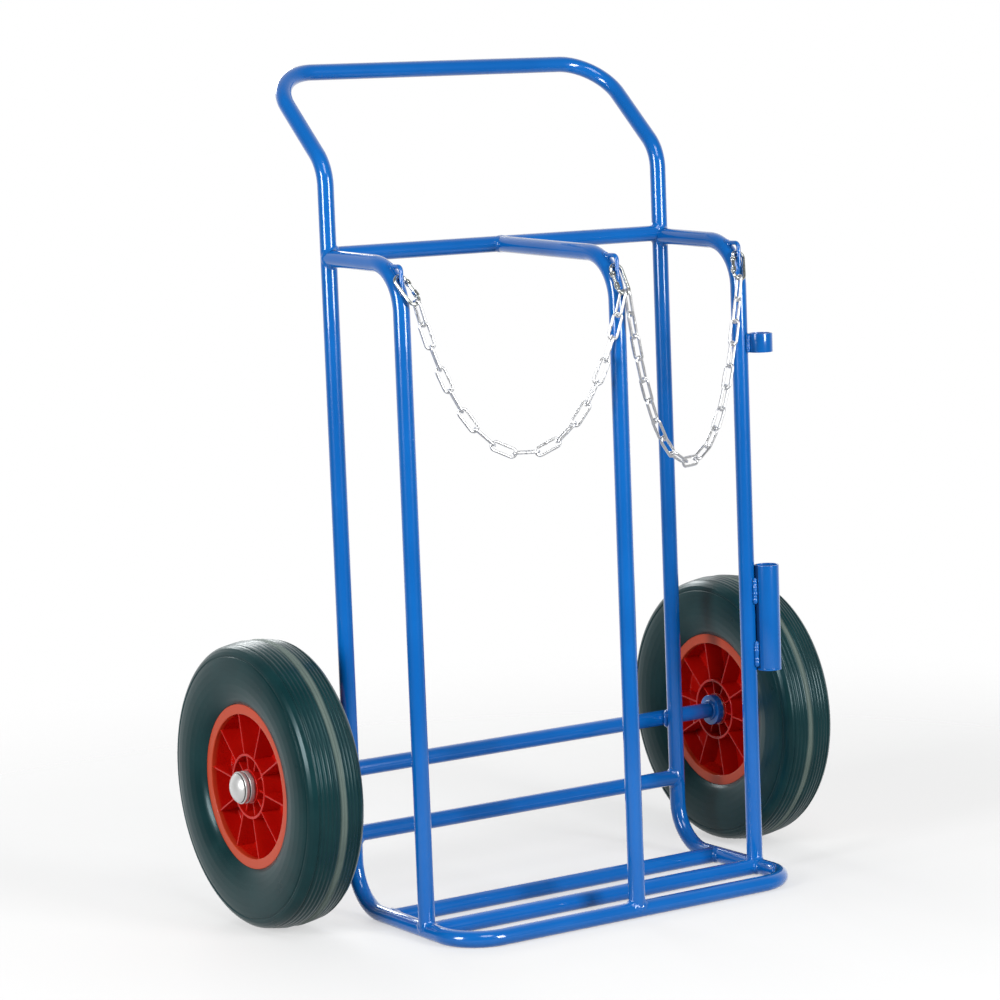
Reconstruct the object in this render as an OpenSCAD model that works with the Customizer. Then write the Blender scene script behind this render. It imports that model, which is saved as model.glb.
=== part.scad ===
// Oxy acetylene torch cart: a welded round-tube frame with two gas bottle
// bays, two solid-tyred wheels on roller bearings, two restraint chains on
// snap hooks, and a holder for welding rods on the right front post.
// Millimetres. +Z up, the open front of the bays faces -Y, +X is the side
// with the rod holder. The origin is on the floor, under the middle of the
// cart. The modules below measure y from the uprights, and stand() moves
// what they make over the origin.

/* [Frame tube] */
// Outer diameter of the round frame tube
tube_d = 23; // [21:0.5:26]
// Wall of the frame tube
tube_wall = 2; // [1.5:0.1:3]

/* [Frame] */
// Distance between the axes of the two uprights
upright_span = 560; // [500:5:640]
// How far the front bar lies ahead of the uprights
base_reach = 283; // [260:1:320]
// Height of the top crossbar's axis
top_bar_h = 922; // [860:1:980]
// Height of the lower crossbar's axis
lower_bar_h = 113; // [105:1:140]
// How far the rear base slat lies ahead of the uprights
rear_slat_reach = 92; // [85:1:110]
// How far the front base slat lies ahead of the uprights
front_slat_reach = 190; // [175:1:205]
// Centreline radius of the bends between the uprights and the side bars
heel_r = 65; // [50:1:75]
// Centreline radius of the two front corners of the base
front_corner_r = 60; // [45:1:75]

/* [Handle] */
// Height at which the uprights would kink back if the bend were sharp
knee_h = 1042; // [1020:1:1080]
// How far the handle bar rises above the kink
handle_rise = 130; // [110:1:170]
// How far the handle bar lies behind the uprights
handle_back = 146; // [120:1:180]
// Centreline radius of the bends at the kinks
knee_r = 60; // [45:1:80]
// Centreline radius of the handle's two corners
handle_corner_r = 70; // [50:1:90]

/* [Front posts] */
// How far the side posts stand ahead of the uprights
side_post_reach = 185; // [165:1:200]
// How far the side posts' top legs start below the top crossbar's axis
side_post_drop = 4; // [0:1:10]
// Centreline radius of the bend at the top of each post
post_bend_r = 65; // [55:1:75]
// Fall of the posts' top legs towards the front, degrees
post_droop = 2; // [0:0.5:4]

/* [Chain lugs] */
// Diameter of the bent rod that makes each lug
lug_d = 6; // [5:0.5:7]
// How far the rod's upright leg stands ahead of the post's axis
lug_ahead = 3; // [1:0.5:5]
// Height of the rod's level leg above the start of the bend
lug_rise = 62; // [58:0.5:66]
// Centreline radius of the rod's own bend
lug_bend_r = 7; // [5:0.5:9]

/* [Rod holder] */
// Outer diameter of the rod holder tube and of the guide ring above it
holder_d = 35; // [32:0.5:40]
// Wall of the rod holder tube
holder_wall = 2; // [1.5:0.1:3]
// Length of the rod holder, with the disc that closes it
holder_len = 152; // [120:1:200]
// Height of the rod holder's lower end
holder_base_h = 298; // [230:1:340]
// Length of the guide ring
ring_len = 27; // [20:1:40]
// Height of the guide ring's lower end
ring_base_h = 755; // [700:1:790]
// Thickness of the disc that closes the holder's lower end
holder_floor_t = 3; // [2:0.5:5]
// How far round towards the front the holder is welded on, degrees
holder_turn = 33; // [20:1:45]

/* [Wheels] */
// Outer diameter of the tyre
tyre_d = 400; // [380:2:420]
// Width of the tyre at its widest
tyre_w = 92; // [82:1:100]
// Distance from an upright's axis to its wheel's middle plane
wheel_offset = 120.5; // [112:0.5:135]
// Diameter of the rim's flanges
flange_d = 229; // [216:1:236]
// Width of the rim over its flanges
rim_w = 67; // [60:1:72]
// Thickness of each flange
flange_t = 5; // [4:0.5:7]
// Diameter of the tyre's seat on the rim
seat_d = 210; // [200:1:212]
// Thickness of the barrel under the seat
barrel_t = 4.5; // [4:0.5:7]
// Thickness of the web that divides the pockets
web_t = 4; // [3:0.5:6]
// Outer diameter of the stiffening ring round the hub
hub_ring_d = 91; // [86:1:100]
// Thickness of the stiffening ring
hub_ring_t = 3.6; // [3:0.2:5]
// Number of ribs on each side of the web
rib_count = 10; // [8:1:12]
// Thickness of a rib
rib_t = 2.8; // [2:0.2:4]
// How far the stiffening ring lies below the flange's face
rib_recess = 2.5; // [2:0.5:7]
// How far the ribs lie below the stiffening ring and the hub core
rib_step = 0.4; // [0.3:0.1:1]
// Outer diameter of the hub core
hub_core_d = 48; // [44:1:54]
// How far the hub core stops short of the rim's inner face
hub_inner_recess = 7; // [4:0.5:9]
// How far the hub core stops short of the rim's outer face
hub_outer_recess = 3.5; // [2:0.5:6]
// How far round each wheel stands from a rib upright, degrees
rib_phase = 11; // [0:1:35]

/* [Tread] */
// Width of a groove in the tread
groove_w = 1.2; // [1:0.1:2]
// Depth of a groove in the tread
groove_depth = 1.5; // [1:0.1:2.5]
// Distance between the tread grooves
groove_pitch = 4.5; // [3.5:0.5:5]
// Number of grooves on each side of the crown stripe
groove_count = 4; // [2:1:5]
// Width of the moulding stripe round the crown
stripe_w = 10; // [7:0.5:12]
// How far the stripe stands above the tread
stripe_h = 0.6; // [0.4:0.1:1]

/* [Axle and bearings] */
// Diameter of the axle bar
axle_d = 23; // [21:0.5:26]
// Diameter of a bearing roller
roller_d = 4.9; // [4:0.1:5.5]
// Length of a bearing roller
roller_len = 44; // [36:1:46]
// Number of rollers in a bearing
roller_count = 12; // [10:1:13]
// Radial running clearance on each side of a roller
roller_play = 0.06; // [0.02:0.01:0.1]
// Wall of the steel sleeve that the rollers run in
sleeve_wall = 2; // [1.5:0.1:2.5]
// Width of the cage's two end rings
cage_ring_w = 3; // [2:0.5:4]
// Diameter of the welded stop collars
collar_d = 45; // [40:1:50]
// Width of the welded stop collars
collar_w = 10; // [8:1:12]
// Thickness of the washers on each side of a hub
washer_t = 2.5; // [1.5:0.1:3]
// Outer diameter of the washers
washer_d = 44; // [40:1:48]
// Outer diameter of the domed axle caps
cap_d = 45; // [42:1:50]
// Length of a cap's straight skirt
cap_skirt = 13; // [10:0.5:15]
// Rise of a cap's dome
cap_dome = 10.5; // [8:0.5:14]
// Sheet thickness of a cap
cap_wall = 1.2; // [0.8:0.1:1.6]
// Side gap between a hub and its washers
hub_float = 0.5; // [0.3:0.1:0.8]

/* [Snap hooks] */
// Diameter of the hook wire
hook_wire = 5; // [4:0.5:5.5]
// Centre-to-centre length of a hook between its two bows
hook_len = 45; // [43:0.5:50]
// Centreline radius of a hook's bows
hook_r = 8.5; // [8:0.25:9]
// Forward tilt of the hanging hooks, degrees
hook_tilt = 31; // [29:0.5:34]
// Sideways swing of the two outer hooks towards their chains, degrees
hook_swing = 20; // [12:1:22]
// Diameter of a gate's pivot pin
gate_pin_d = 2.2; // [1.8:0.1:2.4]
// How far a gate's pivot lies below the end of the top bow
gate_pin_drop = 4; // [3.6:0.1:4.6]
// Width of the tongue that a gate pivots on
pivot_tongue_w = 4.4; // [4:0.1:4.8]
// Width of the tongue that a gate's nose closes over
latch_tongue_w = 3.6; // [3.2:0.1:4]
// How far the latch tongue reaches into a gate's nose
latch_reach = 3; // [2.4:0.1:3.6]
// Thickness of a hook's flattened pivot and latch tongues
tongue_t = 2.2; // [1.8:0.1:2.4]
// Side clearance between a tongue and its slot
tongue_play = 0.2; // [0.1:0.05:0.3]
// Width of a gate's pivot fork and latch head
gate_head_w = 6.4; // [6:0.1:7]
// Length of a gate's latch head
gate_head_len = 9; // [7:0.5:10]
// Outer diameter of the spring inside a gate
gate_spring_d = 3.2; // [2.8:0.1:3.4]
// Length of the spring inside a gate
gate_spring_len = 9.6; // [8:0.1:11]

/* [Chains] */
// Diameter of the chain wire
chain_wire = 4; // [3.5:0.1:4.2]
// Inside length of a link
link_inner_len = 32; // [31:0.5:34]
// Inside width of a link
link_inner_w = 8; // [7.5:0.5:9]
// Number of links in the left chain
left_link_count = 17; // [15:2:19]
// Number of links in the right chain, which hangs lower
right_link_count = 19; // [17:2:21]
// Distance of each chain's last link from the middle hook's centre
shared_bow_step = 3.7; // [3.4:0.1:4.2]

/* [Hidden] */

$fn = 48;
paint = "RoyalBlue";
rubber = "DarkSlateGray";
plastic = "Firebrick";
bright = "Silver";
zinc = "LightGray";

LEFT = -1;
MIDDLE = 0;
RIGHT = 1;
through = 1;             // overrun of a cutting body past the face it cuts
bend_lap = 0.5;          // reach of a band over the end of a bend
bend_band = 0.05;        // how far a band stands proud of the tube
cope_trim = 2;           // how far a coped post's horns stop short of an axis
seat_gap = 0.3;          // gap between hooks, links and what carries them
shared_gap = 0.7;        // the same where both chains share the middle hook
tongue_stub = 0.6;       // how far a hook's tongue starts inside its bow
tongue_end_play = 0.4;   // end clearance between a tongue and its slot
gate_fork_r = 2.9;       // radius of a gate's fork round its pivot

tube_r = tube_d / 2;
half_span = upright_span / 2;
base_h = tube_r;
axle_r = axle_d / 2;
axle_h = tyre_d / 2;
axle_y = tube_r + axle_r;

// Handle: the arms run from the kinks up and back to the bar.
knee_angle = atan2(handle_back, handle_rise);
knee_tangent = knee_r * tan(knee_angle / 2);
arm_len = norm([handle_back, handle_rise]);
upright_top_h = knee_h - knee_tangent;
upright_base_h = base_h + heel_r;

// Front posts: the top leg falls by post_droop, then bends down to the base.
post_bend_angle = 90 - post_droop;
function post_x(side) = side * half_span;
function post_reach(side) = side == MIDDLE ? base_reach : side_post_reach;
function post_start_h(side) = side == MIDDLE ? top_bar_h : top_bar_h - side_post_drop;
function bend_centre_y(side) = post_bend_r - post_reach(side);
function bend_centre_h(side) =
    post_start_h(side) + bend_centre_y(side) * tan(post_droop) - post_bend_r / cos(post_droop);

// Lug rod: a level leg out of the bend and an upright leg back down to it.
lug_r = lug_d / 2;
function lug_y(side) = -post_reach(side) - lug_ahead;
function lug_h(side) = bend_centre_h(side) + lug_rise;

// Snap hooks: the top bow rests in the notch between the lug and the bend.
wire_r = hook_wire / 2;
function bow_y(side) = lug_y(side) + lug_r + wire_r + seat_gap;
function bow_h(side) =
    bend_centre_h(side)
    + sqrt(pow(post_bend_r + tube_r + wire_r + seat_gap, 2) - pow(bow_y(side) - bend_centre_y(side), 2));
function hook_pivot(side) = [post_x(side), bow_y(side), bow_h(side)];
function hook_origin(side) =
    hook_pivot(side) - hook_r * [0, sin(hook_tilt), cos(hook_tilt)];
function turn_x(v, a) = [v.x, v.y * cos(a) - v.z * sin(a), v.y * sin(a) + v.z * cos(a)];
function turn_y(v, a) = [v.x * cos(a) + v.z * sin(a), v.y, v.z * cos(a) - v.x * sin(a)];
function hung(side, v) = turn_x(turn_y(v, side * hook_swing), -hook_tilt);
function hook_point(side, v) = hook_origin(side) + hung(side, v);
function bow_tangent(side) = hung(side, [1, 0, 0]);
lower_bow_z = -(hook_len - 2 * hook_r);
pin_z = -gate_pin_drop;
gate_slot_z = pin_z - pivot_tongue_w / 2 - tongue_end_play;
gate_tip_z = lower_bow_z + seat_gap;
gate_rod_top_z = gate_slot_z - 2 * tongue_end_play;

// Chains: each hangs from its outer hook to the middle hook, in the upright
// plane through both ends. Its links stand by turns across that plane, where
// they pivot at their end wires, and in it, where they pivot at the centres of
// their crowns. The slope at place k along the chain follows the rule for equal
// weights on a line, and the slack is found by halving the bracket.
link_r = chain_wire / 2;
bow_drop = sqrt(hook_r * hook_r - shared_bow_step * shared_bow_step);
function chain_start(side) = hook_point(side, [0, 0, lower_bow_z - hook_r]);
function chain_end(side) =
    hook_point(MIDDLE, [side * shared_bow_step, 0, lower_bow_z - bow_drop]);
function pivot_len(k) = k % 2 == 0 ? link_inner_len + chain_wire : link_inner_len - link_inner_w;
link_step = link_inner_w / 2 - link_r - seat_gap;
function links(side) = side == LEFT ? left_link_count : right_link_count;
function slope_of(side, slack, k) = atan(slack * (k - (links(side) - 1) / 2));
function step_before(side, k) =
    k == 0 ? -(wire_r + seat_gap + link_r) :
    k == links(side) ? -(wire_r + shared_gap + link_r) : link_step;
function sum(v, i = 0) = i < len(v) ? v[i] + sum(v, i + 1) : 0;
function reach_of(side, slack) =
    sum([for (k = [0 : links(side) - 1]) pivot_len(k) * cos(slope_of(side, slack, k))])
    + sum([for (k = [0 : links(side)])
        step_before(side, k) * cos(slope_of(side, slack, k - 0.5))]);
function slack_for(side, chord, low = 0.01, high = 3, steps = 40) =
    steps == 0 ? (low + high) / 2 :
    reach_of(side, (low + high) / 2) > chord
        ? slack_for(side, chord, (low + high) / 2, high, steps - 1)
        : slack_for(side, chord, low, (low + high) / 2, steps - 1);

wheel_x = half_span + wheel_offset;
hub_inner_x = wheel_x - rim_w / 2 + hub_inner_recess;
hub_outer_x = wheel_x + rim_w / 2 - hub_outer_recess;
collar_x = hub_inner_x - hub_float - washer_t - collar_w;
washer_out_x = hub_outer_x + hub_float;
cap_x = washer_out_x + washer_t;
axle_end_x = cap_x + cap_skirt;
roller_orbit_r = axle_r + roller_play + roller_d / 2;
sleeve_bore_r = roller_orbit_r + roller_d / 2 + roller_play;
sleeve_len = hub_outer_x - hub_inner_x;

// The cart reaches from the front of the chains' last links, or the front bar
// where that stands further out, back to the tyres, or to the handle bar.
chains_front = link_inner_w / 2 + chain_wire - chain_end(LEFT).y;
cart_front = max(base_reach + tube_r, chains_front);
cart_back = max(axle_y + tyre_d / 2, handle_back + tube_r);
module stand() {
    translate([0, (cart_front - cart_back) / 2, 0]) children();
}

// ---------------------------------------------------------------- tube work

// The tube's section, its wall thicker by extra on both sides.
module tube_section(extra = 0) {
    difference() {
        circle(r = tube_r + extra);
        circle(r = tube_r - tube_wall - extra);
    }
}

// A straight run of tube along +Z.
module tube_straight(length, extra = 0) {
    linear_extrude(length) tube_section(extra);
}

// A bend that starts at the origin heading +Z and turns towards +X.
module tube_bend(radius, angle) {
    translate([radius, 0, 0]) rotate([90, 0, 180])
        rotate_extrude(angle = angle) translate([radius, 0]) tube_section();
}

// A tube bent through a list of legs. Each leg is [straight length, bend
// radius, bend angle, turn of the bend about the tube's own axis]. Where a
// bend meets a straight run, a short band with a slightly thicker wall laps
// over both, so that they share volume whatever the angle is.
module bent_tube(legs, i = 0) {
    leg = legs[i];
    first = i == 0 ? 0 : bend_lap;
    last = i == len(legs) - 1 ? 0 : bend_lap;
    if (leg[0] > 0) {
        translate([0, 0, first]) tube_straight(leg[0] - first - last);
        if (first > 0)
            translate([0, 0, -bend_lap]) tube_straight(3 * bend_lap, bend_band);
        if (last > 0)
            translate([0, 0, leg[0] - 2 * bend_lap]) tube_straight(3 * bend_lap, bend_band);
    }
    if (i < len(legs) - 1)
        translate([0, 0, leg[0]]) rotate(leg[3]) {
            tube_bend(leg[1], leg[2]);
            translate([leg[1] * (1 - cos(leg[2])), 0, leg[1] * sin(leg[2])])
                rotate([0, leg[2], 0]) bent_tube(legs, i + 1);
        }
}

// A straight run of tube along X between the two uprights or side bars.
module cross_tube(y, h) {
    translate([-half_span, y, h]) rotate([0, 90, 0]) tube_straight(upright_span);
}

// The space a tube fills, for coping other tubes onto it.
module upright_space(side) {
    translate([side * half_span, 0, 0]) cylinder(r = tube_r, h = knee_h);
}
module side_bar_space(side) {
    translate([side * half_span, through, base_h]) rotate([90, 0, 0])
        cylinder(r = tube_r, h = base_reach + through);
}
module cross_space(y, h) {
    translate([-half_span, y, h]) rotate([0, 90, 0])
        cylinder(r = tube_r, h = upright_span);
}

// -------------------------------------------------------------------- frame

module handle_hoop() {
    arm = arm_len - knee_tangent - handle_corner_r;
    bar = upright_span - 2 * handle_corner_r;
    color(paint) stand() translate([-half_span, 0, upright_top_h]) bent_tube([
        [0, knee_r, knee_angle, 90],
        [arm, handle_corner_r, 90, -90],
        [bar, handle_corner_r, 90, 0],
        [arm, knee_r, knee_angle, 90],
        [0, 0, 0, 0]
    ]);
}

module upright(side) {
    color(paint) stand() translate([side * half_span, 0, upright_base_h])
        tube_straight(upright_top_h - upright_base_h);
}

module base_hoop() {
    side_bar = base_reach - heel_r - front_corner_r;
    front_bar = upright_span - 2 * front_corner_r;
    color(paint) stand() translate([-half_span, 0, upright_base_h]) rotate([180, 0, 0])
        bent_tube([
            [0, heel_r, 90, 90],
            [side_bar, front_corner_r, 90, -90],
            [front_bar, front_corner_r, 90, 0],
            [side_bar, heel_r, 90, 90],
            [0, 0, 0, 0]
        ]);
}

module upright_crossbar(h) {
    color(paint) stand() difference() {
        cross_tube(0, h);
        for (side = [LEFT, RIGHT]) upright_space(side);
    }
}

module base_slat(reach) {
    color(paint) stand() difference() {
        cross_tube(-reach, base_h);
        for (side = [LEFT, RIGHT]) side_bar_space(side);
    }
}

module front_post(side) {
    top_leg = -bend_centre_y(side) / cos(post_droop) + post_bend_r * tan(post_droop);
    color(paint) stand() difference() {
        translate([post_x(side), 0, post_start_h(side)])
            rotate([90 + post_droop, 0, 0]) translate([0, 0, cope_trim]) bent_tube([
                [top_leg - cope_trim, post_bend_r, post_bend_angle, -90],
                [bend_centre_h(side) - base_h - cope_trim, 0, 0, 0]
            ]);
        cross_space(0, top_bar_h);
        if (side == MIDDLE) {
            cross_space(-base_reach, base_h);
        } else {
            upright_space(side);
            side_bar_space(side);
            cross_space(-front_slat_reach, base_h);
        }
    }
}

// ---------------------------------------------------- lugs and rod holder

module chain_lug(side) {
    level_len = post_reach(side) + lug_ahead + bend_centre_y(side) - lug_bend_r;
    upright_len = lug_rise - lug_bend_r;
    color(paint) stand() difference() {
        translate([post_x(side), bend_centre_y(side), lug_h(side)])
            rotate([90, 0, 0]) {
                cylinder(d = lug_d, h = level_len);
                translate([0, -lug_bend_r, level_len]) rotate([0, -90, 0])
                    rotate_extrude(angle = 90) translate([lug_bend_r, 0])
                        circle(d = lug_d);
                translate([0, -lug_bend_r, level_len + lug_bend_r])
                    rotate([90, 0, 0]) cylinder(d = lug_d, h = upright_len);
            }
        translate([post_x(side), bend_centre_y(side), bend_centre_h(side)])
            rotate([90, 0, 90]) {
                rotate_extrude() translate([post_bend_r, 0]) circle(r = tube_r);
                translate([0, 0, -tube_r])
                    cylinder(r = post_bend_r, h = tube_d);
            }
    }
}

// Places its children on the rod holder's axis, beside the right front post.
module on_holder_axis(h) {
    reach = tube_r + holder_d / 2;
    translate([half_span + reach * cos(holder_turn),
               -side_post_reach - reach * sin(holder_turn), h]) children();
}

module holder_length_of_tube(length) {
    linear_extrude(length) difference() {
        circle(d = holder_d);
        circle(d = holder_d - 2 * holder_wall);
    }
}

module rod_holder_tube() {
    color(paint) stand() on_holder_axis(holder_base_h + holder_floor_t)
        holder_length_of_tube(holder_len - holder_floor_t);
}

module rod_guide_ring() {
    color(paint) stand() on_holder_axis(ring_base_h) holder_length_of_tube(ring_len);
}

module rod_holder_floor() {
    color(paint) stand() on_holder_axis(holder_base_h)
        cylinder(d = holder_d, h = holder_floor_t);
}

// ---------------------------------------------------------- axle and hubs

// Places its children on the axle, with +Z pointing outwards at one side.
module on_axle(side, x) {
    translate([side * x, axle_y, axle_h]) rotate([0, side * 90, 0]) children();
}

module axle_bar() {
    color(paint) stand() translate([-axle_end_x, axle_y, axle_h]) rotate([0, 90, 0])
        cylinder(r = axle_r, h = 2 * axle_end_x);
}

module axle_ring(side, x, outer_d, width) {
    on_axle(side, x) difference() {
        cylinder(d = outer_d, h = width);
        translate([0, 0, -through]) cylinder(r = axle_r, h = width + 2 * through);
    }
}

module stop_collar(side) {
    color(paint) stand() axle_ring(side, collar_x, collar_d, collar_w);
}

module inner_washer(side) {
    color(zinc) stand() axle_ring(side, collar_x + collar_w, washer_d, washer_t);
}

module outer_washer(side) {
    color(zinc) stand() axle_ring(side, washer_out_x, washer_d, washer_t);
}

// A pressed cap: a skirt with a rolled groove, then a dome, gripping the axle
// with an inner ring. It is open towards the wheel and hollow over the axle.
module axle_cap(side) {
    cap_groove_w = 2;
    cap_groove_depth = 1;
    skirt_r = cap_d / 2;
    dome_base_r = skirt_r - cap_groove_w;
    shoulder_h = cap_skirt - cap_groove_w;
    dome_r = (dome_base_r * dome_base_r + cap_dome * cap_dome) / (2 * cap_dome);
    dome_centre_h = cap_skirt + cap_dome - dome_r;
    grip_r = axle_r + cap_wall;
    color(bright) stand() on_axle(side, cap_x) rotate_extrude() difference() {
        union() {
            square([skirt_r, shoulder_h]);
            square([dome_base_r - cap_groove_depth, cap_skirt]);
            intersection() {
                translate([0, dome_centre_h]) circle(r = dome_r);
                translate([0, cap_skirt - through]) square([dome_base_r, cap_dome + through]);
            }
        }
        translate([0, -through]) square([axle_r, cap_skirt + through]);
        translate([grip_r, -through])
            square([skirt_r - cap_wall - grip_r, shoulder_h - cap_wall + through]);
        intersection() {
            translate([0, dome_centre_h]) circle(r = dome_r - cap_wall);
            translate([0, cap_skirt]) square([dome_base_r, cap_dome]);
        }
        translate([-2 * dome_r, -dome_r]) square([2 * dome_r, 3 * dome_r]);
    }
}

// ------------------------------------------------------------------ wheels

// Half of the tyre's section, as [distance from the middle plane, radius].
module tyre_half_section() {
    half_w = tyre_w / 2;
    crown_r = tyre_d / 2;
    bead_half = rim_w / 2 - flange_t;
    flange_r = flange_d / 2;
    tread_half = stripe_w / 2 + groove_count * groove_pitch + groove_w;
    wall_h = crown_r - flange_r;
    camber = 1.2;
    shoulder_drop = 3;
    groove_floor = crown_r - groove_depth - (camber + shoulder_drop) / 2 + stripe_h;
    difference() {
        polygon([
            [0, seat_d / 2],
            [bead_half, seat_d / 2],
            [bead_half, flange_r],
            [rim_w / 2, flange_r],
            [half_w * 0.86, flange_r + wall_h * 0.10],
            [half_w * 0.94, flange_r + wall_h * 0.22],
            [half_w, flange_r + wall_h * 0.42],
            [half_w, flange_r + wall_h * 0.56],
            [half_w * 0.975, flange_r + wall_h * 0.68],
            [half_w * 0.94, flange_r + wall_h * 0.76],
            [half_w * 0.90, flange_r + wall_h * 0.765],
            [half_w * 0.90, flange_r + wall_h * 0.79],
            [half_w * 0.92, flange_r + wall_h * 0.80],
            [half_w * 0.88, flange_r + wall_h * 0.88],
            [half_w * 0.80, flange_r + wall_h * 0.94],
            [tread_half, crown_r - shoulder_drop],
            [tread_half / 2, crown_r - camber],
            [stripe_w / 2, crown_r - stripe_h],
            [stripe_w / 2, crown_r],
            [0, crown_r]
        ]);
        for (i = [1 : groove_count])
            translate([stripe_w / 2 + (i - 0.5) * groove_pitch - groove_w / 2, groove_floor])
                square([groove_w, crown_r - groove_floor + through]);
    }
}

module tyre(side) {
    color(rubber) stand() on_axle(side, wheel_x) rotate_extrude() rotate(90) mirror([0, 1]) {
        tyre_half_section();
        mirror([1, 0]) tyre_half_section();
    }
}

module ring_section(inner_r, outer_r, low, high) {
    translate([inner_r, low]) square([outer_r - inner_r, high - low]);
}

module rim(side) {
    half = rim_w / 2;
    flange_r = flange_d / 2;
    seat_r = seat_d / 2;
    barrel_r = seat_r - barrel_t;
    ring_r = hub_ring_d / 2;
    core_r = hub_core_d / 2;
    core_bore_r = sleeve_bore_r + sleeve_wall;
    ring_half = half - rib_recess;
    rib_half = ring_half - rib_step;
    core_in = half - hub_inner_recess;
    core_out = half - hub_outer_recess;
    color(plastic) stand() on_axle(side, wheel_x) {
        rotate_extrude() {
            ring_section(barrel_r, seat_r, -half, half);
            ring_section(barrel_r, flange_r, half - flange_t, half);
            ring_section(barrel_r, flange_r, -half, flange_t - half);
            ring_section(core_bore_r, barrel_r + through, -web_t / 2, web_t / 2);
            ring_section(ring_r - hub_ring_t, ring_r, -ring_half, ring_half);
            ring_section(core_bore_r, core_r, -core_in, core_out);
        }
        for (i = [0 : rib_count - 1]) rotate(i * 360 / rib_count - side * rib_phase) {
            translate([ring_r - hub_ring_t / 2, -rib_t / 2, -rib_half])
                cube([barrel_r + barrel_t / 2 - ring_r + hub_ring_t / 2, rib_t, 2 * rib_half]);
            translate([core_r - through, -rib_t / 2, rib_step - core_in])
                cube([ring_r - hub_ring_t / 2 - core_r + through, rib_t,
                      core_in + core_out - rib_t - rib_step]);
        }
    }
}

module hub_sleeve(side) {
    color(bright) stand() on_axle(side, hub_inner_x) linear_extrude(sleeve_len) difference() {
        circle(r = sleeve_bore_r + sleeve_wall);
        circle(r = sleeve_bore_r);
    }
}

// Places its children in the middle of one hub, +Z outwards.
module in_hub(side) {
    on_axle(side, (hub_inner_x + hub_outer_x) / 2) children();
}

module at_each_roller() {
    for (i = [0 : roller_count - 1])
        rotate(i * 360 / roller_count) translate([roller_orbit_r, 0, 0]) children();
}

module bearing_cage(side) {
    pocket_play = 0.15;
    cage_wall = roller_d / 4;
    cage_len = roller_len + 2 * (cage_ring_w + pocket_play);
    color(zinc) stand() in_hub(side) difference() {
        cylinder(r = roller_orbit_r + cage_wall, h = cage_len, center = true);
        cylinder(r = roller_orbit_r - cage_wall, h = cage_len + 2 * through, center = true);
        at_each_roller() cylinder(d = roller_d + 2 * pocket_play,
                                  h = roller_len + 2 * pocket_play, center = true);
    }
}

module bearing_rollers(side) {
    color(bright) stand() in_hub(side) at_each_roller()
        cylinder(d = roller_d, h = roller_len, center = true);
}

// ------------------------------------------------------------- snap hooks

// Places its children in a hook's own frame: +Z along the hook, the middle of
// the top bow's arc at the origin, and the gate on the side of +X.
module in_hook(side) {
    translate(hook_origin(side)) rotate([-hook_tilt, 0, 0])
        rotate([0, side * hook_swing, 0])
            rotate(side == LEFT ? 0 : 180) children();
}

module half_bow() {
    rotate([90, 0, 0]) rotate_extrude(angle = 180)
        translate([hook_r, 0]) circle(r = wire_r);
}

// A flat tongue in the hook's plane, with a round end, from z = base to tip.
module tongue(base_z, tip_z, width) {
    thick = tongue_t;
    round_z = tip_z + (base_z > tip_z ? width / 2 : -width / 2);
    translate([hook_r - width / 2, -thick / 2, min(base_z, round_z)])
        cube([width, thick, abs(base_z - round_z)]);
    translate([hook_r, 0, round_z]) rotate([90, 0, 0])
        cylinder(d = width, h = thick, center = true);
}

module hook_body(side) {
    color(bright) stand() in_hook(side) difference() {
        union() {
            half_bow();
            translate([0, 0, lower_bow_z]) mirror([0, 0, 1]) half_bow();
            translate([-hook_r, 0, lower_bow_z]) cylinder(r = wire_r, h = -lower_bow_z);
            tongue(tongue_stub, pin_z - pivot_tongue_w / 2, pivot_tongue_w);
            tongue(lower_bow_z - tongue_stub, gate_tip_z + latch_reach, latch_tongue_w);
        }
        translate([hook_r, 0, pin_z]) rotate([90, 0, 0])
            cylinder(d = gate_pin_d, h = hook_wire, center = true);
    }
}

module hook_gate(side) {
    slot = tongue_t + 2 * tongue_play;
    nose_len = latch_reach + tongue_end_play;
    spring_room_d = gate_spring_d + tongue_play;
    spring_room_len = gate_spring_len + tongue_end_play;
    color(zinc) stand() in_hook(side) translate([hook_r, 0, 0]) difference() {
        union() {
            rotate([90, 0, 0]) translate([0, pin_z, 0])
                cylinder(r = gate_fork_r, h = gate_head_w, center = true);
            translate([-wire_r, -gate_head_w / 2, gate_rod_top_z])
                cube([hook_wire, gate_head_w, pin_z - gate_rod_top_z]);
            translate([0, 0, gate_tip_z])
                cylinder(r = wire_r, h = pin_z - gate_tip_z);
            translate([-wire_r, -gate_head_w / 2, gate_tip_z])
                cube([hook_wire, gate_head_w, gate_head_len]);
        }
        translate([-hook_wire, -slot / 2, gate_slot_z])
            cube([2 * hook_wire, slot, 2 * hook_wire]);
        translate([-hook_wire, -slot / 2, gate_tip_z - through])
            cube([2 * hook_wire, slot, nose_len + through]);
        rotate([90, 0, 0]) translate([0, pin_z, 0])
            cylinder(d = gate_pin_d, h = 2 * hook_wire, center = true);
        translate([0, 0, gate_slot_z - spring_room_len])
            cylinder(d = spring_room_d, h = spring_room_len + through);
    }
}

module gate_pin(side) {
    pin_play = 0.03;
    color(bright) stand() in_hook(side) translate([hook_r, 0, pin_z]) rotate([90, 0, 0])
        cylinder(d = gate_pin_d - 2 * pin_play, h = gate_head_w + 0.4, center = true);
}

// The spring that closes the gate, drawn as the sleeve that its turns fill.
module gate_spring(side) {
    spring_wall = 0.6;
    spring_base_z = gate_slot_z - gate_spring_len - tongue_end_play / 2;
    color(zinc) stand() in_hook(side) translate([hook_r, 0, spring_base_z])
        linear_extrude(gate_spring_len) difference() {
            circle(d = gate_spring_d);
            circle(d = gate_spring_d - 2 * spring_wall);
        }
}

// ----------------------------------------------------------------- chains

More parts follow.
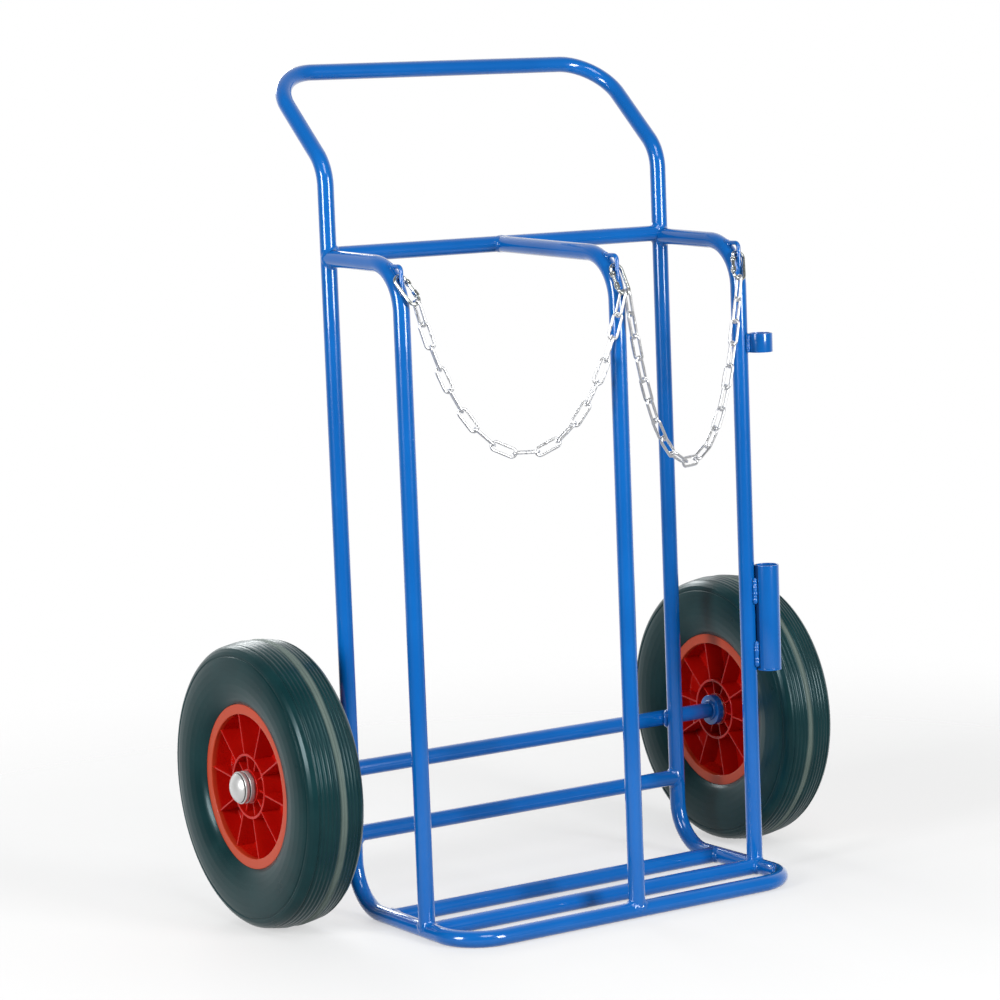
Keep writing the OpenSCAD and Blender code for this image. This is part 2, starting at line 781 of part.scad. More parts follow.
// A link along Z in the XZ plane, centred on the origin.
module chain_link() {
    crown_r = link_inner_w / 2 + link_r;
    half_side = link_inner_len / 2 - link_inner_w / 2;
    for (x = [-crown_r, crown_r])
        translate([x, 0, -half_side]) cylinder(r = link_r, h = 2 * half_side);
    translate([0, 0, half_side]) rotate([90, 0, 0])
        rotate_extrude(angle = 180) translate([crown_r, 0]) circle(r = link_r);
    translate([0, 0, -half_side]) rotate([-90, 0, 0])
        rotate_extrude(angle = 180) translate([crown_r, 0]) circle(r = link_r);
}

// Draws the links one after another in the XZ plane, from the origin along
// +X, each turned a quarter against the one before. The first and last links
// are turned further, by end_turns, to stand square to the bows they hang on.
module link_run(side, slack, end_turns, k = 0) {
    last = links(side) - 1;
    joint_slope = slope_of(side, slack, k - 0.5);
    slope = slope_of(side, slack, k);
    end_turn = k == 0 ? end_turns[0] : k == last ? end_turns[1] : 0;
    translate(step_before(side, k) * [cos(joint_slope), 0, sin(joint_slope)]) {
        rotate([0, 90 - slope, 0]) translate([0, 0, pivot_len(k) / 2])
            rotate((k % 2 == 0 ? 90 : 0) + end_turn) chain_link();
        if (k < last)
            translate(pivot_len(k) * [cos(slope), 0, sin(slope)])
                link_run(side, slack, end_turns, k + 1);
    }
}

module chain(side) {
    start = chain_start(side);
    span = chain_end(side) - start;
    level = norm([span.x, span.y]);
    across = [-span.y, span.x, 0] / level;
    end_turns = side * [asin(bow_tangent(side) * across), -asin(bow_tangent(MIDDLE) * across)];
    color(zinc) stand() translate(start) rotate([0, 0, atan2(span.y, span.x)])
        rotate([0, -atan2(span.z, level), 0])
            link_run(side, slack_for(side, norm(span)), end_turns);
}

handle_hoop();
upright(LEFT);  // left_upright
upright(RIGHT);  // right_upright
base_hoop();
upright_crossbar(top_bar_h);  // top_crossbar
upright_crossbar(lower_bar_h);  // lower_crossbar
base_slat(rear_slat_reach);  // rear_base_slat
base_slat(front_slat_reach);  // front_base_slat
front_post(LEFT);  // left_front_post
front_post(MIDDLE);  // middle_front_post
front_post(RIGHT);  // right_front_post
chain_lug(LEFT);  // left_chain_lug
chain_lug(MIDDLE);  // middle_chain_lug
chain_lug(RIGHT);  // right_chain_lug
rod_holder_tube();
rod_guide_ring();
rod_holder_floor();
axle_bar();
stop_collar(LEFT);  // left_stop_collar
stop_collar(RIGHT);  // right_stop_collar
inner_washer(LEFT);  // left_inner_washer
inner_washer(RIGHT);  // right_inner_washer
outer_washer(LEFT);  // left_outer_washer
outer_washer(RIGHT);  // right_outer_washer
axle_cap(LEFT);  // left_axle_cap
axle_cap(RIGHT);  // right_axle_cap
tyre(LEFT);  // left_tyre
tyre(RIGHT);  // right_tyre
rim(LEFT);  // left_rim
rim(RIGHT);  // right_rim
hub_sleeve(LEFT);  // left_hub_sleeve
hub_sleeve(RIGHT);  // right_hub_sleeve
bearing_cage(LEFT);  // left_bearing_cage
bearing_cage(RIGHT);  // right_bearing_cage
bearing_rollers(LEFT);  // left_bearing_rollers
bearing_rollers(RIGHT);  // right_bearing_rollers
hook_body(LEFT);  // left_hook_body
hook_body(MIDDLE);  // middle_hook_body
hook_body(RIGHT);  // right_hook_body
hook_gate(LEFT);  // left_hook_gate
hook_gate(MIDDLE);  // middle_hook_gate
hook_gate(RIGHT);  // right_hook_gate
gate_pin(LEFT);  // left_gate_pin
gate_pin(MIDDLE);  // middle_gate_pin
gate_pin(RIGHT);  // right_gate_pin
gate_spring(LEFT);  // left_gate_spring
gate_spring(MIDDLE);  // middle_gate_spring
gate_spring(RIGHT);  // right_gate_spring
chain(LEFT);  // left_chain
chain(RIGHT);  // right_chain
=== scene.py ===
import math

import bpy
import numpy as np
from mathutils import Matrix, Vector


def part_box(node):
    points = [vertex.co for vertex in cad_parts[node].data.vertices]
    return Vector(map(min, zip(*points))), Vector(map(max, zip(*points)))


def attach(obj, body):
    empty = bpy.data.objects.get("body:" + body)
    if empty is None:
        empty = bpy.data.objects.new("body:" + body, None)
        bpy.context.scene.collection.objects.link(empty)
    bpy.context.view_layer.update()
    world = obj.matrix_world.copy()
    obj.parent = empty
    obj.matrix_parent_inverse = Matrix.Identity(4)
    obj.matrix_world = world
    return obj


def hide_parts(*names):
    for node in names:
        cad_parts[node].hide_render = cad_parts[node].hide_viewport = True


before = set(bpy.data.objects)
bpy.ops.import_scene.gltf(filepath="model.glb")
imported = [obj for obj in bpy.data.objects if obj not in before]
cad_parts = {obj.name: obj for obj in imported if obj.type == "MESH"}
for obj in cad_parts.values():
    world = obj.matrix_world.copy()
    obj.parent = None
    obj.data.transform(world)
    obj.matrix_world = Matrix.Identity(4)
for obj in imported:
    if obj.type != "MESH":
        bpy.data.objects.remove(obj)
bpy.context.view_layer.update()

# The cart's frame is drawn in millimetres from the line that the two uprights
# stand on, with +Z up and the open front towards -Y. at() turns such points
# into the row frame.
upright_low, upright_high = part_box("left_upright")
uprights_y = 500 * (upright_low.y + upright_high.y)
half_span = 500 * (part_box("right_upright")[1].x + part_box("right_upright")[0].x)


def at(points):
    """Millimetres from the uprights' line: (x, y + uprights_y, z) / 1000."""
    return (np.asarray(points, float) + [0, uprights_y, 0]) / 1000


# -------- the camera
# A long lens a little above the cart's middle, off to its front left, and
# held slightly out of level.
camera_azimuth = math.radians(-33.02)
camera_elevation = math.radians(7.03)
camera_roll = math.radians(-2.18)
camera_distance = 4705.85
camera_target = np.array([-15.54, 0, 558.06])
camera_lens, camera_sensor = 118.867, 36

back = np.array([math.sin(camera_azimuth) * math.cos(camera_elevation),
                 -math.cos(camera_azimuth) * math.cos(camera_elevation),
                 math.sin(camera_elevation)])
level = np.cross(-back, [0, 0, 1])
level /= np.linalg.norm(level)
upward = np.cross(level, -back)
right = math.cos(camera_roll) * level + math.sin(camera_roll) * upward
top = -math.sin(camera_roll) * level + math.cos(camera_roll) * upward

camera = bpy.data.objects.new("camera", bpy.data.cameras.new("camera"))
camera.data.sensor_width = camera_sensor
camera.data.lens = camera_lens
camera.data.clip_end = 100
rows = np.column_stack([right, top, back, at(camera_target + camera_distance * back)])
camera.matrix_world = Matrix([*rows.tolist(), [0, 0, 0, 1]])
bpy.context.scene.collection.objects.link(camera)
bpy.context.scene.camera = camera


# -------- the bent tube of the frame
# Welded steel tube of 23 mm: a base hoop, two uprights and a handle hoop in one
# closed loop, with crossbars and slats between. It is powder-coated in glossy
# blue after welding, so the coat runs over every joint.
tube_r = 11.5
base_h = 11.5
top_bar_h = 922
lower_bar_h = 113
slat_reaches = {"rear_base_slat": 92, "front_base_slat": 190}
base_reach = 283
heel_r = 65
front_corner_r = 60
knee_h = 1042
knee_r = 60
handle_h = 1172
handle_back = 146
handle_corner_r = 70
heel_joint_h, knee_joint_h = base_h + heel_r, 1015.1
end_gap = 0.5
sides = (("left", -1), ("right", 1))


def unit(v):
    """A vector, or each row of an array, divided by its length."""
    v = np.asarray(v, float)
    return v / np.linalg.norm(v, axis=-1, keepdims=True)


def turned(v, axis, angles):
    """v turned about an axis by each angle a: v cos a + (axis x v) sin a + axis (axis . v) (1 - cos a)."""
    c, s = np.cos(angles)[:, None], np.sin(angles)[:, None]
    return v * c + np.cross(axis, v) * s + axis * np.dot(axis, v) * (1 - c)


def bent(corners, radii=(), steps=40):
    """Centreline of a bent tube or rod. Straight runs join the corner points, and an arc of the given
    radius r rounds each corner, from r tan(angle / 2) before it to as far after it. Returns the points,
    the headings, and the across directions, which an arc turns about its own axis only."""
    corners = np.asarray(corners, float)
    headings = unit(np.diff(corners, axis=0))
    across = unit(np.cross(headings[0], [0.31, 0.52, 0.79]))
    line = [(corners[:1], headings[:1], [across])]
    for corner, before, after, radius in zip(corners[1:-1], headings[:-1], headings[1:], radii):
        axis = unit(np.cross(before, after))
        angle = np.arccos(np.dot(before, after))
        start = corner - before * radius * math.tan(angle / 2)
        arm = np.cross(before, axis) * radius
        angles = np.linspace(0, angle, steps)
        line.append((start - arm + turned(arm, axis, angles), turned(before, axis, angles),
                     turned(across, axis, angles)))
        across = line[-1][2][-1]
    line.append((corners[-1:], headings[-1:], [across]))
    return [np.concatenate(part) for part in zip(*line)]


def full_turn(count):
    """Equal angles once round, from 0."""
    return np.linspace(0, 2 * np.pi, count, endpoint=False)


def sweep(line, radius, count=48, loop=False):
    """A round section carried along a centreline: point + r (across cos a + up sin a), where up is
    heading x across. Rows run along the line, which may be a loop, and columns round it."""
    points, ways, across = (part[:, None] for part in line)
    a = full_turn(count)[:, None]
    return points + (across * np.cos(a) + np.cross(ways, across) * np.sin(a)) * radius, loop


def grid_faces(rows, columns, loop):
    """Quads between the rows of a grid whose columns close round, and so do its rows if it loops."""
    r = np.arange(rows if loop else rows - 1)[:, None]
    c = np.arange(columns)[None]
    n, d = (r + 1) % rows, (c + 1) % columns
    corners = [r * columns + c, r * columns + d, n * columns + d, n * columns + c]
    return np.stack(corners, -1).reshape(-1, 4)


def piece(name, body, finish, shapes, replaces=(), crease=35):
    """One object of the cart. Each shape is a grid of points in millimetres whose columns close round, and
    whether its rows do too. An open grid gets a fan at each end. Faces are turned outwards by the sign of
    the volume they enclose, and edges sharper than the crease angle stay sharp."""
    all_points, all_faces, base = [], [], 0
    for grid, loop in shapes:
        rows, columns = grid.shape[:2]
        points = grid.reshape(-1, 3)
        quads = grid_faces(rows, columns, loop)
        fans = np.zeros((0, 3), int)
        if not loop:
            c = np.arange(columns)
            d = (c + 1) % columns
            middle = c * 0 + rows * columns
            points = np.concatenate([points, grid[:1].mean(1), grid[-1:].mean(1)])
            fans = np.concatenate([np.stack([middle, d, c], -1),
                                   np.stack([middle + 1, c - columns + middle, d - columns + middle], -1)])
        split = np.concatenate([quads[:, :3], quads[:, [0, 2, 3]], fans])
        p = points[split]
        if np.einsum("ij,ij->i", p[:, 0], np.cross(p[:, 1], p[:, 2])).sum() < 0:
            quads, fans = quads[:, ::-1], fans[:, ::-1]
        all_points.append(points)
        all_faces += (quads + base).tolist() + (fans + base).tolist()
        base += len(points)
    mesh = bpy.data.meshes.new(name)
    mesh.from_pydata(at(np.concatenate(all_points)), [], all_faces)
    mesh.polygons.foreach_set("use_smooth", np.ones(len(mesh.polygons), bool))
    mesh.set_sharp_from_angle(angle=math.radians(crease))
    mesh.materials.append(finish)
    made = bpy.data.objects.new(name, mesh)
    bpy.context.scene.collection.objects.link(made)
    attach(made, body)
    if replaces:
        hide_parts(*replaces)


class Value:
    """A number inside a finish. Python's operators on it add Math nodes."""

    def __init__(self, finish, socket):
        self.finish, self.socket = finish, socket

    def math(self, operation, *terms):
        return self.finish.node("ShaderNodeMath", {"operation": operation}, dict(enumerate(terms)))

    def __add__(self, other):
        return self.math("ADD", self, other)

    def __sub__(self, other):
        return self.math("SUBTRACT", self, other)

    def __rsub__(self, other):
        return self.math("SUBTRACT", other, self)

    def __mul__(self, other):
        return self.math("MULTIPLY", self, other)

    def __abs__(self):
        return self.math("ABSOLUTE", self)

    __radd__ = __add__
    __rmul__ = __mul__

    def hypot(self, other):
        """sqrt(a^2 + b^2)."""
        return self.math("SQRT", self * self + other * other)

    def step(self, low, high):
        """0 below low, 1 above high, and a smooth rise between."""
        return self.finish.node("ShaderNodeMapRange", {"interpolation_type": "SMOOTHSTEP"},
                                {"Value": self, "From Min": low, "From Max": high})


class Finish:
    """A node tree, which belongs to a new material unless another kind is given."""

    def __init__(self, name, kind=bpy.data.materials):
        self.owner = kind.new(name)
        self.owner.use_nodes = True
        self.nodes = self.owner.node_tree.nodes
        self.links = self.owner.node_tree.links
        self.nodes.clear()

    def node(self, kind, settings=None, sockets=None, out=0):
        """Adds a node: its settings first, then its sockets' values or links. Returns one of its outputs."""
        made = self.nodes.new(kind)
        for key, value in (settings or {}).items():
            setattr(made, key, value)
        for key, value in (sockets or {}).items():
            if isinstance(value, Value):
                self.links.new(value.socket, made.inputs[key])
            else:
                made.inputs[key].default_value = value
        return Value(self, made.outputs[out])

    def place(self, move=(0, 0, 0), turn=(0, 0, 0)):
        """Object coordinates in metres, moved to a centre and turned."""
        spot = self.node("ShaderNodeTexCoord", out="Object")
        return self.node("ShaderNodeMapping", {"vector_type": "TEXTURE"},
                         {"Vector": spot, "Location": move, "Rotation": turn})

    def noise(self, place, scale, detail):
        return self.node("ShaderNodeTexNoise", None, {"Vector": place, "Scale": scale, "Detail": detail})

    def marks(self, value, scale):
        """Fine lines along which the value is the same."""
        return self.node("ShaderNodeTexNoise", {"noise_dimensions": "1D"},
                         {"W": value, "Scale": scale, "Detail": 2})

    def axes(self, place):
        split = self.node("ShaderNodeSeparateXYZ", None, {"Vector": place}).socket.node
        return [Value(self, socket) for socket in split.outputs]

    def mix(self, factor, one, other):
        """Colour one where the factor is 0 and the other where it is 1."""
        paint = [shade if isinstance(shade, Value) else (*shade, 1) for shade in (one, other)]
        return self.node("ShaderNodeMix", {"data_type": "RGBA"}, {0: factor, 6: paint[0], 7: paint[1]}, 2)

    def bump(self, height, distance, strength):
        return self.node("ShaderNodeBump", None,
                         {"Height": height, "Distance": distance, "Strength": strength})

    def close(self, shader, output="ShaderNodeOutputMaterial"):
        """Links a shader to the tree's output and returns what the tree belongs to."""
        self.links.new(shader.socket, self.nodes.new(output).inputs["Surface"])
        return self.owner

    def done(self, **sockets):
        """Closes a material with a Principled BSDF. An underscore in a socket's name stands for a space."""
        named = {key.replace("_", " "): (*value, 1) if isinstance(value, tuple) else value
                 for key, value in sockets.items()}
        return self.close(self.node("ShaderNodeBsdfPrincipled", None, named))


coat_blues = (0.001, 0.122, 0.46), (0.002, 0.138, 0.505)
coat = Finish("powder_coat_blue")
where = coat.place()
cloud = coat.noise(where, 9, 4)
peel = coat.noise(where, 420, 2)
dust = coat.noise(where, 1600, 1).step(0.66, 0.78)
powder_coat = coat.done(
    Base_Color=coat.mix(cloud.step(0.35, 0.7), *coat_blues),
    Roughness=0.16 + 0.06 * cloud + 0.08 * dust,
    Specular_IOR_Level=0.3,
    Coat_Weight=1.0,
    Coat_Roughness=0.05,
    Normal=coat.bump(peel + 0.4 * cloud, 0.00004, 0.3),
)


def coated(name, shapes, replaces=(), finish=powder_coat):
    """A piece of the frame in its blue coat."""
    piece(name, "frame", finish, shapes, replaces)


def tube(node, corners, radii=()):
    """A tube of the frame that joins the corners, in place of a node."""
    coated(node + "_tube", [sweep(bent(corners, radii), tube_r)], [node])


left, front = -half_span, -base_reach
tube("handle_hoop",
     [[left, 0, knee_joint_h], [left, 0, knee_h], [left, handle_back, handle_h],
      [-left, handle_back, handle_h], [-left, 0, knee_h], [-left, 0, knee_joint_h]],
     [knee_r, handle_corner_r, handle_corner_r, knee_r])
for name, sign in sides:
    tube(name + "_upright", [[-left * sign, 0, heel_joint_h], [-left * sign, 0, knee_joint_h]])
tube("base_hoop",
     [[left, 0, heel_joint_h], [left, 0, base_h], [left, front, base_h],
      [-left, front, base_h], [-left, 0, base_h], [-left, 0, heel_joint_h]],
     [heel_r, front_corner_r, front_corner_r, heel_r])
rungs = {"top_crossbar": (0, top_bar_h), "lower_crossbar": (0, lower_bar_h)}
rungs.update({name: (-reach, base_h) for name, reach in slat_reaches.items()})
for name, (y, z) in rungs.items():
    tube(name, [[left + end_gap, y, z], [-left - end_gap, y, z]])

# -------- the front posts
# The same tube, run level off the uprights or the top crossbar with a slight
# droop, then bent down to the base. The middle one stands on the front bar.
side_sign = {"left": -1, "middle": 0, "right": 1}
post_reach = {"left": 185, "middle": base_reach, "right": 185}
side_post_h = top_bar_h - 4
post_start_h = {"left": side_post_h, "middle": top_bar_h, "right": side_post_h}
post_bend_r = 65
post_droop = math.radians(2)
post_bend = {}
for side, reach in post_reach.items():
    x, start_h, fall = side_sign[side] * half_span, post_start_h[side], math.tan(post_droop)
    tube(side + "_front_post", [[x, -end_gap, start_h], [x, -reach, start_h - reach * fall],
                                [x, -reach, base_h + end_gap]], [post_bend_r])
    bend_h = start_h + (post_bend_r - reach) * fall - post_bend_r / math.cos(post_droop)
    post_bend[side] = np.array([x, post_bend_r - reach, bend_h])

# -------- the weld beads
# Every coped joint is welded right round with a filler rod, which leaves a
# hollow fillet about 4 mm high in the corner. Short beads tack on the small
# parts, and the powder coat has filled the valleys between their puddles.
fillet_reach = 4.4
bead_pitch = 3.2


def fillet(centre, main, branch, seed, count=200):
    """The weld in the corner round a tube that stands square on another of the same radius r. At the angle
    t round the branch the corner is main r cos t + across r sin t + branch r |cos t|, softened near its
    two turns. The section runs from f up the branch to f along the main tube's skin, on which the angle
    from the branch is t + (f / r) sin t, by a quadratic curve that the corner, pushed out by a fifth of f,
    bends inwards. Puddles and two slow waves vary f, and the weld stays above the floor."""
    centre, main, branch = (np.asarray(v, float) for v in (centre, main, branch))
    across = np.cross(branch, main)
    t = full_turn(count)[:, None]
    puddle = np.abs(np.sin(t * 11 + seed))
    f = fillet_reach * (0.94 + 0.06 * puddle + 0.07 * np.sin(3 * t + seed) + 0.05 * np.sin(5 * t + 2 * seed))
    out = main * np.cos(t) + across * np.sin(t)
    rise = np.sqrt(np.cos(t) ** 2 + 0.004)
    corner = tube_r * (out + branch * rise)
    on_branch = corner + branch * f
    turn = np.arctan2(np.sin(t), rise) + f / tube_r * np.sin(t)
    skin = across * np.sin(turn) + branch * np.cos(turn)
    on_main = main * (tube_r + f) * np.cos(t) + tube_r * skin
    push = out + unit(across * np.sin(t) + branch * rise)
    middle = corner + push * f * (0.19 + 0.05 * puddle)
    k = np.linspace(0, 1, 9)[None, :, None]
    low, high = (on_branch - 0.12 * out)[:, None], (on_main - 0.12 * skin)[:, None]
    curve = (1 - k) ** 2 * low + 2 * k * (1 - k) * middle[:, None] + k ** 2 * high
    under = (corner - 0.9 * push)[:, None]
    weld = centre + np.concatenate([curve, under], 1)
    weld[..., 2] = np.maximum(weld[..., 2], 0)
    return weld, True


def bead(line, radius, pitch, count, seed):
    """A closed weld bead along (points, outward directions). With the arc length s and the angle a round
    the bead, its radius is r (0.9 + 0.1 |sin(pi s / pitch - 0.8 cos a)|), and three slow waves of s widen
    and thin it by up to an eighth, as a hand-held torch does."""
    points, out = line
    ways = unit(np.roll(points, -1, 0) - np.roll(points, 1, 0))
    across = unit(out - ways * np.sum(out * ways, 1, keepdims=True))
    steps = np.linalg.norm(np.roll(points, -1, 0) - points, axis=1)
    s = np.concatenate([[0], np.cumsum(steps)[:-1]])
    puddles = max(3, round(steps.sum() / pitch))
    turns = s[:, None] / steps.sum() * 2 * np.pi
    drift = 1 + sum(size * np.sin(waves * turns + shift * seed)
                    for size, waves, shift in ((0.05, 3, 1), (0.04, 7, 2.1), (0.03, 12, 4.3)))
    a = full_turn(count)
    ripple = 0.9 + 0.1 * np.abs(np.sin(turns / 2 * puddles - 0.8 * np.cos(a)))
    return sweep((points, ways, across), (radius * ripple * drift)[..., None], count, True)


X, Y, Z = np.eye(3)
upright_beads, base_beads, post_beads = [], [], []
for number, x in enumerate((left, -left)):
    inwards = X if x < 0 else -X
    upright_beads += [fillet([x, 0, z], Z, inwards, number + z) for z in (top_bar_h, lower_bar_h)]
    base_beads += [fillet([x, -reach, base_h], Y, inwards, number + reach) for reach in slat_reaches.values()]
    post_beads += [fillet([x, 0, side_post_h], Z, -Y, number + 5),
                   fillet([x, -post_reach["left"], base_h], Y, Z, number + 8)]
post_beads += [fillet([0, 0, top_bar_h], X, -Y, 11), fillet([0, front, base_h], X, Z, 12)]
coated("crossbar_weld_beads", upright_beads)
coated("slat_weld_beads", base_beads)
coated("post_weld_beads", post_beads)

# -------- the chain lugs
# A 6 mm rod bent to a right angle and welded to the top of each post, so that
# rod and bend close a small eye. It is coated with the frame.
lug_r = 3
lug_rise = 62
lug_ahead, lug_back, lug_drop = 3, 20, 42
lug_bend_r = 7
lug_bead_off = {"level": 0.4, "upright": 0.1}
lug_bead_r = {"level": 1.5, "upright": 0.9}


def on_bend(centre, off, direction, axis_at, count=60):
    """Bead line where the lug's rod meets the torus of a post's bend. Round the rod's axis, at the angle a,
    the line along it meets the torus where it is R + sqrt((r + off)^2 - x^2) from the bend's centre."""
    a = full_turn(count)
    cos, sin = np.cos(a), np.sin(a)
    x = (lug_r + off) * cos
    other = axis_at + (lug_r + off) * sin
    reach = post_bend_r + np.sqrt((tube_r + off) ** 2 - x ** 2)
    along = np.sqrt(reach ** 2 - other ** 2)
    if direction == "level":
        return centre + np.stack([x, -along, other], 1), np.stack([cos, a * 0, sin], 1)
    return centre + np.stack([x, other, along], 1), np.stack([cos, sin, a * 0], 1)


for side, reach in post_reach.items():
    centre = post_bend[side]
    x, lug_y, lug_h = centre[0], -reach - lug_ahead, centre[2] + lug_rise
    rod = bent([[x, centre[1] - lug_back, lug_h], [x, lug_y, lug_h], [x, lug_y, lug_h - lug_drop]],
               [lug_bend_r], steps=16)
    lines = {"level": lug_rise, "upright": lug_y - centre[1]}
    beads = [bead(on_bend(centre, lug_bead_off[way], way, axis_at), lug_bead_r[way], 1.8, 10, seed)
             for seed, (way, axis_at) in enumerate(lines.items(), 1)]
    coated(side + "_lug_rod", [sweep(rod, lug_r, 24), *beads], [side + "_chain_lug"])

# -------- the rod holder and its guide
# A short wide tube with a disc welded under it, and a ring cut from the same
# tube above, each laid against the right front post and welded down the crevice.
holder_r = 17.5
holder_wall = 2
holder_turn = math.radians(33)
holder_base_h, holder_len = 298, 152
guide_base_h, guide_len = 755, 27
holder_floor = 3
holder_welds, guide_welds = [(9, 40), (100, 131)], [(3, guide_len - 3)]
crevice_depth = 3.5
holder_axis = np.array([-left + (tube_r + holder_r) * math.cos(holder_turn),
                        -post_reach["right"] - (tube_r + holder_r) * math.sin(holder_turn), 0])


def rounded(corners, radii, steps=5):
    """A closed outline whose corners are rounded: a quadratic curve of a few points replaces each corner,
    tangent to both of its sides. It starts r / tan(angle / 2) off, at most 0.45 of the shorter side."""
    corners = np.asarray(corners, float)
    before, after = unit(np.roll(corners, 1, 0) - corners), unit(np.roll(corners, -1, 0) - corners)
    lengths = np.linalg.norm(np.roll(corners, -1, 0) - corners, axis=1)
    room = 0.45 * np.minimum(lengths, np.roll(lengths, 1))
    angle = np.arccos(np.clip(np.sum(before * after, 1), -1, 1))
    radii = np.broadcast_to(np.asarray(radii, float), len(corners))
    cut = np.minimum(radii / np.tan(angle / 2), room)
    t = np.linspace(0, 1, steps)[None, :, None]
    start, end = corners + before * cut[:, None], corners + after * cut[:, None]
    blend = (1 - t) ** 2 * start[:, None] + 2 * t * (1 - t) * corners[:, None] + t ** 2 * end[:, None]
    return blend.reshape(-1, 2)


def box_section(low, high, inner, outer, soft):
    """An outline between two places along an axis and two radii, with rounded corners."""
    return rounded([[low, inner], [low, outer], [high, outer], [high, inner]], soft)


def lathe(outline, centre, axis, count=64):
    """An outline of (along, radius) turned about an axis into a closed skin: centre + axis along
    + radius (u cos a + v sin a)."""
    axis = unit(axis)
    u = unit(np.cross(axis, [0.0, 0.6, 0.8] if abs(axis[0]) > 0.9 else [1.0, 0.0, 0.0]))
    v = np.cross(axis, u)
    a = full_turn(count)[:, None, None]
    along, radius = outline[None, :, :1], outline[None, :, 1:]
    return np.asarray(centre, float) + axis * along + (u * np.cos(a) + v * np.sin(a)) * radius, True


def seam(low, high, off=2.9, points=60):
    """Bead lines up both crevices between the post and the holder, off from the skin of each, and back down
    1.2 mm deeper, so that the bead closes on itself."""
    post = np.array([-left, -post_reach["right"], 0])
    gap = holder_axis - post
    length = np.linalg.norm(gap)
    along = ((tube_r + off) ** 2 - (holder_r + off) ** 2 + length ** 2) / (2 * length)
    out = math.sqrt((tube_r + off) ** 2 - along ** 2)
    way = gap / length
    z = np.linspace(low, high, points)[:, None]
    for side in (np.cross(Z, way), np.cross(way, Z)):
        up = post + way * along + side * out + Z * z
        yield np.concatenate([up, up[::-1] - side * 1.2]), np.tile(side, (2 * points, 1))


def crevice_beads(base, spans, radius, seed=0):
    """The beads in both crevices, one pair for each span above the base."""
    lines = [line for low, high in spans for line in seam(base + low, base + high)]
    return [bead(line, radius, 4.2, 12, seed + number) for number, line in enumerate(lines)]


def pipe(base, length):
    """A length of the wide tube, which stands on a base height."""
    return lathe(box_section(0, length, holder_r - holder_wall, holder_r, 0.6), holder_axis + Z * base, Z)


def make_holder_coat():
    """The frame's blue, with painted shade down the crevice: the tube's own skin is painted dark, rougher and
    with less coat on the side of the post, within the crevice's depth of the line where the two touch."""
    shaded_holder_coat = Finish("holder_coat_blue")
    where = shaded_holder_coat.place(tuple(at([holder_axis[0], holder_axis[1], 0])), (0, 0, -holder_turn))
    away, sideways, _ = shaded_holder_coat.axes(where)
    cloud = shaded_holder_coat.noise(where, 9, 4)
    drift = shaded_holder_coat.noise(where, 90, 2)
    edge = (crevice_depth - holder_r) / 1000
    # Painted shade: the holder's skin facing the post is painted dark blue down the crevice.
    near_post = 1 - (away + 0.0012 * (drift - 0.5)).step(edge, edge + 0.001)
    skin = 1 - away.hypot(sideways).step((holder_r + 0.15) / 1000, (holder_r + 0.4) / 1000)
    crevice = near_post * skin
    full = shaded_holder_coat.mix(cloud.step(0.35, 0.7), *coat_blues)
    return shaded_holder_coat.done(
        Base_Color=shaded_holder_coat.mix(crevice, full, (0.001, 0.034, 0.13)),
        Roughness=0.16 + 0.06 * cloud + 0.3 * crevice,
        Specular_IOR_Level=0.3,
        Coat_Weight=1 - 0.8 * crevice,
        Coat_Roughness=0.05,
        Normal=shaded_holder_coat.bump(cloud, 0.00004, 0.3),
    )


coated("rod_holder_pipe", [pipe(holder_base_h + holder_floor, holder_len - holder_floor),
                           *crevice_beads(holder_base_h, holder_welds, 3.5)],
       ["rod_holder_tube"], make_holder_coat())
disc = box_section(0, holder_floor, 0.4, holder_r, [0, 0.7, 0.4, 0])
coated("rod_holder_disc", [lathe(disc, holder_axis + Z * holder_base_h, Z, 48)], ["rod_holder_floor"])
coated("rod_guide_pipe", [pipe(guide_base_h, guide_len),
                          *crevice_beads(guide_base_h, guide_welds, 3.4, seed=4)], ["rod_guide_ring"])

# -------- the axle, collars and washers
# A solid bar crosses behind the uprights and is welded to both. A collar is
# welded on at each side as a stop, and plain washers run on both sides of a hub.
axle_r = 11.5
axle_y, axle_h = 23, 200
axle_end = 446.5
collar_r, collar_w, collar_x = 22.5, 10, 361
washer_r, washer_t, outer_washer_x = 22, 2.5, 431


def cross_bead(centre, off=2.6, count=90):
    """Bead line round the spot where two bars of the same radius r cross and touch. It lies b = r + off from
    both axes: y = r - off cos 2t, x = sqrt(b^2 - y^2) and z = sqrt(b^2 - (2r - y)^2)."""
    t = full_turn(count)
    y = tube_r - off * np.cos(2 * t)
    reach = tube_r + off
    x = np.sqrt(np.maximum(reach ** 2 - y ** 2, 0)) * np.sign(np.cos(t))
    z = np.sqrt(np.maximum(reach ** 2 - (2 * tube_r - y) ** 2, 0)) * np.sign(np.sin(t))
    return np.asarray(centre) + np.stack([x, y, z], 1), unit(np.stack([x, y * 0, z], 1) + 1e-9)


def ring_line(x, radius, count=80):
    """Bead line round the axle: a circle of a radius at x."""
    a = full_turn(count)
    out = np.stack([a * 0, np.cos(a), np.sin(a)], 1)
    return np.array([x, axle_y, axle_h]) + out * radius, out


def on_axle(outline, sign=1, x=0, count=64):
    """An outline turned about the axle's line, from x outwards."""
    return lathe(outline, [x, axle_y, axle_h], X * sign, count)


def axle_place(finish, x=0):
    """A finish's place from a point on the axle's line, the distance along the line and the radius."""
    where = finish.place(tuple(at([x, axle_y, axle_h])))
    along, deep, high = finish.axes(where)
    return where, along, deep.hypot(high)


axle_beads = [bead(cross_bead([x, 0, axle_h]), 3.4, bead_pitch, 14, number)
              for number, x in enumerate((left, -left))]
axle_outline = box_section(-axle_end, axle_end, 0.4, axle_r, [0, 1.2, 1.2, 0])
coated("axle_round_bar", [on_axle(axle_outline), *axle_beads], ["axle_bar"])


